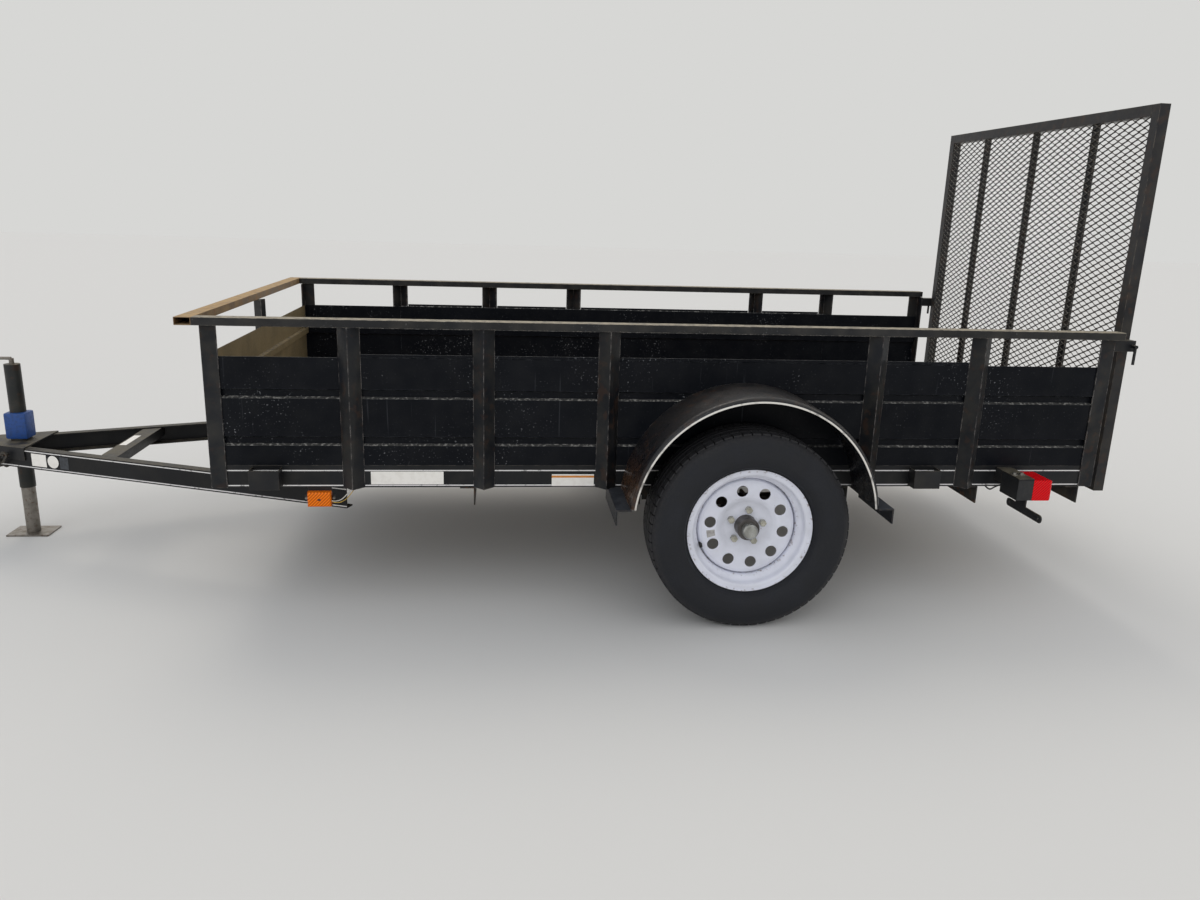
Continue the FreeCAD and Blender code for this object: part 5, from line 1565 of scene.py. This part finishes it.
@dataclass
class Fasteners:
    """Bolt heads, screws and nails that show, and the moulded ears that the screws hold.

    Attributes (lengths in metres):
        tree: Tree that sets a head on every point.
        zinc, dark: Finishes of plated steel, and of nail heads and ears.
        washer_height: Thickness of a washer.
        taper_hex, taper_round: Width of a head's top as a share of its foot.
        bolt_inset: Distance of the lamps' bolts in from the lamp bodies' outer face.
        bolt_steps: Places of the two bolts along a lamp, from its middle.
        screw_beyond: Distance of the markers' screws beyond their ends.
        screw_inset: Distance of the ears' face in from the markers' face.
        ear_length, ear_half_height, ear_depth: Size of an ear, its depth from the markers' face.
        slot_half, slot_half_height, slot_sink, slot_proud: Size of the slot in a marker's face.
        planks: Planks across the deck.
        plank_gap: Gap between two planks.
        crossings_behind: Distances of the nailed cross members behind the front.
        nail_step: Distance of a nail from its plank's middle.
    """

    tree: bpy.types.NodeTree
    zinc: bpy.types.Material
    dark: bpy.types.Material
    washer_height: float = 0.0016
    taper_hex: float = 0.92
    taper_round: float = 0.6
    bolt_inset: float = 0.055
    bolt_steps: Pair = (-0.012, 0.014)
    screw_beyond: float = 0.0058
    screw_inset: float = 0.0195
    ear_length: float = 0.012
    ear_half_height: float = 0.011
    ear_depth: float = 0.024
    slot_half: float = 0.005
    slot_half_height: float = 0.003
    slot_sink: float = 0.002
    slot_proud: float = 0.0006
    planks: int = 11
    plank_gap: float = 0.003
    crossings_behind: tuple[float, ...] = (0.819, 1.380, 2.115, 2.595, 2.979)
    nail_step: float = 0.04

    def head(self, name: str, across: float, height: float, washer: float, sides: int) -> bpy.types.Object:
        """One fastener head that stands on the origin.

        Args:
            name: Name of the pattern.
            across: Width of the head.
            height: Height over the washer.
            washer: Radius of the washer, or zero.
            sides: Corners of the head.

        Returns:
            The pattern's object.
        """
        shape = bmesh.new()
        base = 0.0
        if washer:
            base = self.washer_height
            bmesh.ops.create_cone(shape, cap_ends=True, segments=20, radius1=washer, radius2=washer * 0.96,
                                  depth=base, matrix=Matrix.Translation((0, 0, base / 2)))
        taper = self.taper_hex if sides == 6 else self.taper_round
        bmesh.ops.create_cone(shape, cap_ends=True, segments=sides, radius1=across / 2,
                              radius2=across / 2 * taper, depth=height,
                              matrix=Matrix.Translation((0, 0, base + height / 2)))
        mesh = bpy.data.meshes.new(name)
        shape.to_mesh(mesh)
        shape.free()
        pattern = bpy.data.objects.new(name, mesh)
        bpy.context.scene.collection.objects.link(pattern)
        return pattern

    def bolts(self) -> list[Spot]:
        """Bolts that hold the lamp bodies on their mounts.

        Returns:
            Place and aim of each.
        """
        body_low, body_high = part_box("lamp_bodies")
        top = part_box("lamp_mounts")[1].z
        middle = (body_low.x + body_high.x) / 2
        return [((middle + step, side.value * (body_high.y - self.bolt_inset), top), UPWARD)
                for side in Side for step in self.bolt_steps]

    def screws(self) -> list[Spot]:
        """Screws in the side markers' ears.

        Returns:
            Place and aim of each.
        """
        low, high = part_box("side_markers")
        return [((x, side.value * (high.y - self.screw_inset), (low.z + high.z) / 2),
                 (0.0, float(side.value), 0.0))
                for side in Side for x in (low.x - self.screw_beyond, high.x + self.screw_beyond)]

    def nails(self) -> list[Spot]:
        """Nails in pairs where the planks cross the frame.

        Returns:
            Place and aim of each.
        """
        low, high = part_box("deck_planks")
        pitch = (high.y - low.y + self.plank_gap) / self.planks
        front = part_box("frame_side_rails")[1].x
        spots = []
        for plank in range(self.planks):
            y = low.y + pitch * (plank + 0.5) - self.plank_gap / 2
            for back in self.crossings_behind:
                spots += [((front - back, y + step, high.z), UPWARD)
                          for step in (-self.nail_step, self.nail_step)]
        return spots

    def build(self) -> list[bpy.types.Object]:
        """Set the heads and the ears.

        Returns:
            One piece for each kind of head, and the pieces of the ears.
        """
        # Columns: kind, places, across, height, washer radius, corners, finish
        kinds = (("bolts", self.bolts(), 0.013, 0.006, 0.011, 6, self.zinc),
                 ("screws", self.screws(), 0.010, 0.0035, 0.0, 16, self.zinc),
                 ("nails", self.nails(), 0.011, 0.0015, 0.0, 12, self.dark))
        pieces = []
        for kind, places, across, height, washer, sides, finish in kinds:
            pattern = self.head(kind + "_pattern", across, height, washer, sides)
            piece = grown(kind, spots_mesh(kind + "_spots", places), self.tree,
                          {"Part": pattern, "Material": finish})
            bpy.data.objects.remove(pattern)
            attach(piece, Body.CHASSIS.value)
            pieces.append(piece)
        return pieces + self.ears()

    def ears(self) -> list[bpy.types.Object]:
        """Moulded ears of the side markers, which their screws hold, and the slots in their faces.

        Returns:
            Their pieces.
        """
        low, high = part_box("side_markers")
        middle, centre = (low.z + high.z) / 2, (low.x + high.x) / 2
        pieces = []
        for side in Side:
            faces = sorted(side.value * (high.y - depth) for depth in (self.ear_depth, self.screw_inset))
            for word, start, end in (("rear", low.x - self.ear_length, low.x),
                                     ("front", high.x, high.x + self.ear_length)):
                pieces.append(block_piece(f"marker_ear_{word}_{side.word}",
                                          (start, faces[0], middle - self.ear_half_height),
                                          (end, faces[1], middle + self.ear_half_height), 0.0015, self.dark))
            inner, outer = sorted(side.value * (high.y + step) for step in (-self.slot_sink, self.slot_proud))
            pieces.append(block_piece(f"marker_slot_{side.word}",
                                      (centre - self.slot_half, inner, middle - self.slot_half_height),
                                      (centre + self.slot_half, outer, middle + self.slot_half_height),
                                      0.0004, self.dark))
        for piece in pieces:
            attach(piece, Body.CHASSIS.value)
        return pieces


@dataclass
class Labels:
    """Blank labels on the rails, the tongue and its brace, and the sleeve on the jack."""

    white: bpy.types.Material
    orange: bpy.types.Material
    blue: bpy.types.Material
    grey: bpy.types.Material
    skin: float = 0.0003
    web_angle_deg: float = 21.5
    web_apex_ahead: float = 1.241

    def flat(self, name: str, outline: Sequence[Pair], origin: Vector, along: Vector, up: Vector,
             finish: bpy.types.Material) -> bpy.types.Object:
        """Thin label on a flat face.

        Args:
            name: Name of the label.
            outline: Its corners as (along, up), anticlockwise seen from outside.
            origin: Place on the face that the corners are measured from.
            along: Unit vector along the face.
            up: Unit vector up the face.
            finish: Its material.

        Returns:
            The piece.
        """
        out = along.cross(up)
        low = [origin + along * a + up * b for a, b in outline]
        corners = low + [c + out * self.skin for c in low]
        count = len(low)
        faces = [tuple(range(count - 1, -1, -1)), tuple(range(count, 2 * count))]
        faces += [(k, (k + 1) % count, count + (k + 1) % count, count + k) for k in range(count)]
        return mesh_piece(name, corners, faces, finish, smooth=False)

    def build(self) -> list[bpy.types.Object]:
        """Stick the labels on.

        Returns:
            Their pieces.
        """
        pieces = []
        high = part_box("frame_side_rails")[1]
        face, back = Vector((high.x, high.y, 0.0)), Vector((-1.0, 0.0, 0.0))
        up, left = Vector((0.0, 0.0, 1.0)), Vector((0.0, 1.0, 0.0))
        # Columns: name, near and far distance behind the front, low z, high z, finish
        flats = (("rail_label_long", 0.5028, 0.7399, 0.4365, 0.4805, self.white),
                 ("rail_label_short_low", 1.1006, 1.2436, 0.4300, 0.4590, self.white),
                 ("rail_label_band", 1.1006, 1.2436, 0.4590, 0.4665, self.orange),
                 ("rail_label_short_top", 1.1006, 1.2436, 0.4665, 0.4710, self.white))
        for name, a0, a1, z0, z1, finish in flats:
            pieces.append(self.flat(name, ((a0, z0), (a1, z0), (a1, z1), (a0, z1)), face, back, up, finish))
        turn = math.radians(self.web_angle_deg)
        apex = Vector((high.x + self.web_apex_ahead, 0.0, 0.0))
        along = Vector((-math.cos(turn), math.sin(turn), 0.0))
        # Outlines on the channel's web: distance behind the apex and height, in metres
        square = ((0.411, 0.3225), (0.480, 0.3225), (0.480, 0.3715), (0.411, 0.3715))
        patch = ((0.544, 0.3235), (0.583, 0.3235), (0.583, 0.3705), (0.544, 0.3705))
        disc = [(0.512 + 0.0255 * math.cos(math.tau * k / 40), 0.347 + 0.0245 * math.sin(math.tau * k / 40))
                for k in range(40)]
        for name, outline, finish in (("tongue_label_square", square, self.white),
                                      ("tongue_label_round", disc, self.white),
                                      ("tongue_label_worn", patch, self.grey)):
            pieces.append(self.flat(name, outline, apex, along, up, finish))
        brace_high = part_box("tongue_brace")[1]
        top = Vector((brace_high.x - 0.006, 0.0, brace_high.z))
        pieces.append(self.flat("brace_label", ((-0.104, 0.0), (0.052, 0.0), (0.052, 0.027), (-0.104, 0.027)),
                                top, left, back, self.white))
        low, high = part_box("jack_tube")
        middle = (low + high) / 2
        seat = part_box("coupler")[1].z
        pieces.append(block_piece("jack_sleeve", (middle.x - 0.040, middle.y - 0.038, seat + 0.008),
                                  (middle.x + 0.040, middle.y + 0.038, seat + 0.112), 0.008, self.blue))
        for piece in pieces:
            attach(piece, Body.CHASSIS.value)
        return pieces


@dataclass
class Wiring:
    """Wires of the lamps and side markers where they hang in the open, with their radii."""

    black: bpy.types.Material
    white: bpy.types.Material
    yellow: bpy.types.Material
    marker_wire: float = 0.0014
    lamp_cable: float = 0.0028

    def build(self) -> list[bpy.types.Object]:
        """Hang the wires.

        Returns:
            Their pieces.
        """
        pieces = []
        marker_low, marker_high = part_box("side_markers")
        body_low, body_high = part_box("lamp_bodies")
        rail_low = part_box("frame_side_rails")[0]
        for side in Side:
            y = side.value * (-marker_low.y - 0.012)
            x, z = marker_low.x, marker_high.z
            # Each leaves the marker's rear end, sags, and climbs again further in
            # Columns: colour, finish, sag, reach toward the rear
            runs = (("white", self.white, 0.0, 0.062), ("yellow", self.yellow, 0.006, 0.074))
            for word, finish, drop, length in runs:
                path = [(x + 0.006, y, z - 0.030),
                        (x - 0.012, y + side.value * 0.004, z - 0.034 - drop),
                        (x - length * 0.6, y, z - 0.026 - drop),
                        (x - length, y - side.value * 0.010, z + 0.006),
                        (x - length - 0.01, y - side.value * 0.014, z + 0.020)]
                pieces.append(tube_piece(f"marker_wire_{word}_{side.word}", path, self.marker_wire,
                                         finish, 8))
            # The lamp's cable leaves the front of its body and bends inward under the rail
            inner = body_high.y - 0.110
            x = body_high.x - 0.004
            path = [(x, side.value * (inner + 0.012), body_low.z + 0.030),
                    (x + 0.018, side.value * (inner - 0.004), body_low.z + 0.018),
                    (x + 0.030, side.value * (inner - 0.024), rail_low.z - 0.012),
                    (x + 0.034, side.value * (inner - 0.050), rail_low.z + 0.004)]
            pieces.append(tube_piece(f"lamp_wire_{side.word}", path, self.lamp_cable, self.black, 10))
        for piece in pieces:
            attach(piece, Body.CHASSIS.value)
        return pieces


@dataclass
class Dressing:
    """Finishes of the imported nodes, and the softened corners of its steel."""

    materials: dict[str, bpy.types.Material]
    nodes: dict[str, bpy.types.Object]
    edge: float = 0.0012

    def paint(self, node: str, finish: str) -> None:
        """Give a node its finish.

        Args:
            node: Name of the node.
            finish: Name of its finish.
        """
        mesh = self.nodes[node].data
        mesh.materials.clear()
        mesh.materials.append(self.materials[finish])

    def soften(self, node: str) -> None:
        """Round a node's corners as rolled and folded steel has them.

        Args:
            node: Name of the node.
        """
        weld = self.nodes[node].modifiers.new("weld", "WELD")
        weld.merge_threshold = 1e-5
        bevel = self.nodes[node].modifiers.new("corners", "BEVEL")
        bevel.width = self.edge
        bevel.segments = 2
        bevel.limit_method = "ANGLE"
        bevel.angle_limit = math.radians(40)
        bevel.harden_normals = True

    def build(self, table: dict[str, Sequence[str]], soft: Iterable[str]) -> None:
        """Dress every node.

        Args:
            table: Node names by finish.
            soft: Nodes whose corners are rounded.
        """
        for finish, names in table.items():
            for node in names:
                self.paint(node, finish)
        for node in soft:
            self.soften(node)


def finishes(axles: dict[Side, Triple]) -> dict[str, bpy.types.Material]:
    """Build every material.

    Args:
        axles: Middle of each wheel.

    Returns:
        Materials by the name of their finish.
    """
    makers = {
        # Sprayed steel. All of it is the same black enamel; what has settled on it and worn it differs, and
        # on some pieces light is painted in.
        # Channel rail: near-black with a soft sheen, two white pinstripes with chalky breaks
        "rail": Enamel("black_enamel_rail", colour="#101215", stripes_mm=(484.0, 433.0), dust_film=0.06,
                       rub=0.45, shine=0.25, cloud=0.14),
        # Tongue channel: the same pinstripes, cleaner webs and a thin coat of dust on the flanges
        "tongue": Enamel("black_enamel_tongue", colour="#101114", stripes_mm=(378.0, 315.8), dust_film=0.04,
                         dust_on_top=0.4, shine=0.25, cloud=0.1),
        # Small frame parts: plain dulled black
        "frame": Enamel("black_enamel", dust_film=0.08),
        # Fender brackets: blue-black, with grey dust on their ledges
        "bracket": Enamel("black_enamel_bracket", colour="#171A20", dust="#565A60", dust_on_top=0.4,
                          dust_film=0.05, rub=0.6),
        # Underside: flat paint under road dirt, rust coming through in patches
        "under": Enamel("black_enamel_underside", rust=0.7, roughness=0.6, dust_film=0.3),
        # Angle posts: a wide pale band along the corner, wear where loads have dragged over it and a painted
        # highlight
        "posts": Enamel("black_enamel_posts", colour="#101318", rub=0.85, rub_width_mm=4.5,
                        rub_colour="#85807C", rust=0.05, dust_film=0.12, cloud=0.16, shine=0.25),
        # Top rails: mottled pale dust with a painted sheen on top that leaves black gaps, bare grey along the
        # edges
        "top_rail": Enamel("black_enamel_top_rail", colour="#141517", dust_on_top=0.95, dust_film=0.07,
                           rub=0.8, dust="#A39A88", rub_colour="#A9A092", specks=0.3, cloud=0.15,
                           heap_mm=18.0, heap_gap=0.18),
        # Front top rail: almost all tan, painted low sunlight on dusty black paint, with rust-brown patches
        "front_rail": Enamel("black_enamel_front_rail", colour="#6B563C", dust="#AC9169", dust_on_top=0.95,
                             dust_film=0.5, rust=0.35, rust_colour="#8A5A2E", heap_mm=24.0, heap_gap=0.2,
                             cloud=0.1),
        # Side sheets: the deepest, smoothest black with a faint blue that is painted skylight, crowds of pale
        # stone chips and faint rain runs
        "sheet": Enamel("black_enamel_sheet", colour="#090C12", roughness=0.36, streaks=0.1, specks=0.65,
                        dust_on_top=0.85, dust_film=0.012, rub=0.5, rub_width_mm=1.6, rub_colour="#6A6C70",
                        dust="#A3A19B", cloud=0.05, shine=0.1, heap_mm=11.0, heap_gap=0.5),
        # Front sheet: black outside, and an even tan on the face toward the load that is dust and painted low
        # sunlight
        "front_sheet": Enamel("black_enamel_front_sheet", colour="#0D0F12", dust="#7F7155", dust_film=0.1,
                              dust_on_top=0.9, streaks=0.15, cloud=0.1, heap_mm=20.0, specks=0.4,
                              rub=0.6, shine=0.2, back_dust=0.9),
        # Fenders: glossier black, bright corners and a bright line round the lip that are painted highlights
        # over worn paint, a little dust on the crown that is partly a painted highlight, brown mud on the low
        # front
        "fender": Enamel("black_enamel_fender", colour="#0D1016", roughness=0.28, dust="#5E5852",
                         dust_on_top=0.2, dust_film=0.02, rub=0.6, rub_width_mm=2.5, rub_colour="#E2DED6",
                         rust=0.06, specks=0.45, rust_colour="#6B4A2E", splash_m=(-0.47, 0.55), cloud=0.08,
                         lip_m=(-0.8715, 0.378, 0.4005, 1.0225), shine=0.4),
        # Gate frame: warm black, dusty, with tan wear and a little rust at its edges
        "gate": Enamel("black_enamel_gate", colour="#17171A", dust="#6B6456", dust_film=0.16, rub=0.6,
                       rust=0.15, rub_colour="#8A8072"),
        # Gate mesh: black strands whose cut edges catch the light
        "mesh": Enamel("black_enamel_mesh", colour="#121214", dust="#6E6858", dust_film=0.16, rub=0.8,
                       rub_width_mm=0.8, rust=0.15, rub_colour="#9A958C", shine=0.45),
        # Jack tube: greenish black with rust spots
        "jack": Enamel("black_enamel_jack", colour="#1E201E", dust_film=0.14, rust=0.2),
        # Deck: grey-brown boards, each a little different
        "timber": Timber(),
        # Plated and bare steel: how bright it still is tells its age.
        # Springs: brown-black and matt, rusted almost all over
        "spring": Plating("rusted_spring_steel", colour="#3A352F", rust=0.9, roughness=0.6),
        # Bolts and screws: ordinary dull zinc
        "zinc": Plating("zinc_plate"),
        # Jack's leg and crank: zinc with broad brown patches
        "leg": Plating("zinc_leg", colour="#8C8780", rust=0.6),
        # Hubs: dark cast steel, half metallic, faintly blotched
        "hub": Plain("dark_hub_steel", "#5C5856", "#3E3A37", 0.42, 0.5, 30.0),
        # Grease caps: the brightest metal, smooth and clean
        "cap": Plating("bright_zinc_cap", colour="#B9BBB7", rust=0.03, roughness=0.3),
        # Wheel nuts: bright and faintly yellow, a trace of rust
        "nut": Plating("bright_zinc_nuts", colour="#C4C3B6", rust=0.15, roughness=0.26),
        # Chains: dark grey zinc, browned between the links
        "chain": Plating("dull_chain_zinc", colour="#4B4946", rust=0.5, roughness=0.55),
        # Lamp bodies: matt black moulding
        "lamp_case": Plain("black_lamp_case", "#16171A", "#2C2C2C", 0.5),
        # Lenses: saturated red and amber that deepen between their ribs
        "red_lens": Lens("red_acrylic", "#F20614", "#B4020C"),
        "amber_lens": Lens("amber_acrylic", "#F88014", "#C65A04"),
        # Labels: clean white, orange and blue film, and two that have weathered to grey
        "vinyl": Plain("white_vinyl", "#F4F1EA", "#EAE6DE", 0.45, 0.0, 18.0),
        "orange_vinyl": Plain("orange_vinyl", "#D98B3A", "#C27A33", 0.45),
        "blue_vinyl": Plain("blue_vinyl", "#19478C", "#1F3F70", 0.45),
        "chalky_vinyl": Plain("worn_wheel_vinyl", "#B4B1AE", "#8C8884", 0.5),
        "grey_vinyl": Plain("worn_grey_vinyl", "#3C4046", "#26282B", 0.5),
        # Wires and rubber trim: dirty white and yellow sleeves, chalky black rubber
        "white_wire": Plain("white_wire_sleeve", "#D9D6CC", "#A7A296", 0.5),
        "yellow_wire": Plain("yellow_wire_sleeve", "#C9A238", "#8E7430", 0.5),
        "dark_rubber": Plain("black_rubber_trim", "#1D1D1E", "#3A3834", 0.7),
    }
    made = {key: maker.material() for key, maker in makers.items()}
    for side, axle in axles.items():
        made["rubber_" + side.word] = Rubber("tyre_rubber_" + side.word, axle).material()
        made["white_" + side.word] = WheelWhite("white_wheel_enamel_" + side.word, axle).material()
    return made


NODE_FINISHES: dict[str, tuple[str, ...]] = {
    "rail": ("frame_side_rails",),
    "tongue": ("tongue_rails",),
    "frame": ("frame_end_rails", "tongue_brace", "stake_pockets", "lamp_mounts", "plate_bar", "coupler",
              "coupler_latch", "hinge_lugs", "gate_keepers"),
    "bracket": ("fender_brackets",),
    "under": ("cross_members", "axle_beam", "axle_clamps", "spring_hangers"),
    "posts": ("side_posts_left", "side_posts_right", "end_posts"),
    "top_rail": ("top_rails",),
    "front_rail": ("top_rail_front",),
    "sheet": ("side_sheets_left", "side_sheets_right"),
    "front_sheet": ("front_sheet",),
    "fender": ("fender_left", "fender_right"),
    "gate": ("gate_uprights", "gate_crossbars", "gate_bars", "gate_hinges"),
    "mesh": ("gate_mesh",),
    "jack": ("jack_tube",),
    "leg": ("jack_leg", "jack_crank"),
    "chain": ("safety_chains",),
    "timber": ("deck_planks",),
    "spring": ("leaf_springs",),
    "nut": ("wheel_nuts_left", "wheel_nuts_right"),
    "hub": ("hub_left", "hub_right"),
    "cap": ("grease_cap_left", "grease_cap_right"),
    "lamp_case": ("lamp_bodies",),
    "red_lens": ("lamp_lenses",),
    "amber_lens": ("side_markers",),
    "white_left": ("rim_left",),
    "white_right": ("rim_right",),
    "rubber_left": ("tyre_left",),
    "rubber_right": ("tyre_right",),
}

SOFTENED = ("frame_side_rails", "frame_end_rails", "tongue_rails", "tongue_brace", "top_rails",
            "top_rail_front", "side_posts_left", "side_posts_right", "end_posts", "stake_pockets",
            "gate_uprights", "gate_crossbars", "gate_bars", "lamp_bodies", "lamp_mounts",
            "fender_brackets", "cross_members", "plate_bar", "wheel_nuts_left", "wheel_nuts_right")


def main() -> None:
    """Dress the trailer from its frame outward."""
    logging.basicConfig(level=logging.INFO, format="%(name)s: %(message)s")
    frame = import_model()
    axles = {}
    for side in Side:
        low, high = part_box("tyre_" + side.word)
        axles[side] = tuple((low + high) / 2)
    materials = finishes(axles)
    Dressing(materials, frame["nodes"]).build(NODE_FINISHES, SOFTENED)
    ring, stamp, weave = ring_tree(), stamp_tree(), weave_tree()
    low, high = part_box("tyre_left")
    pieces = []
    for side in Side:
        wheel = Wheel(side, axles[side], (high.z - low.z) / 2, (high.y - low.y) / 2,
                      materials["rubber_" + side.word], materials["white_" + side.word],
                      materials["dark_rubber"], materials["chalky_vinyl"], ring)
        pieces += wheel.build()
    mesh_low, mesh_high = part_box("gate_mesh")
    pieces += RampMesh(tuple(mesh_low), tuple(mesh_high), materials["mesh"], weave).build()
    pieces += Fasteners(stamp, materials["zinc"], materials["dark_rubber"]).build()
    pieces += Labels(materials["vinyl"], materials["orange_vinyl"], materials["blue_vinyl"],
                     materials["grey_vinyl"]).build()
    pieces += Wiring(materials["dark_rubber"], materials["white_wire"], materials["yellow_wire"]).build()
    Setting().build()
    for piece in pieces:
        LOG.info("%s: %d faces", piece.name, len(piece.data.polygons))


if __name__ == "__main__":
    main()
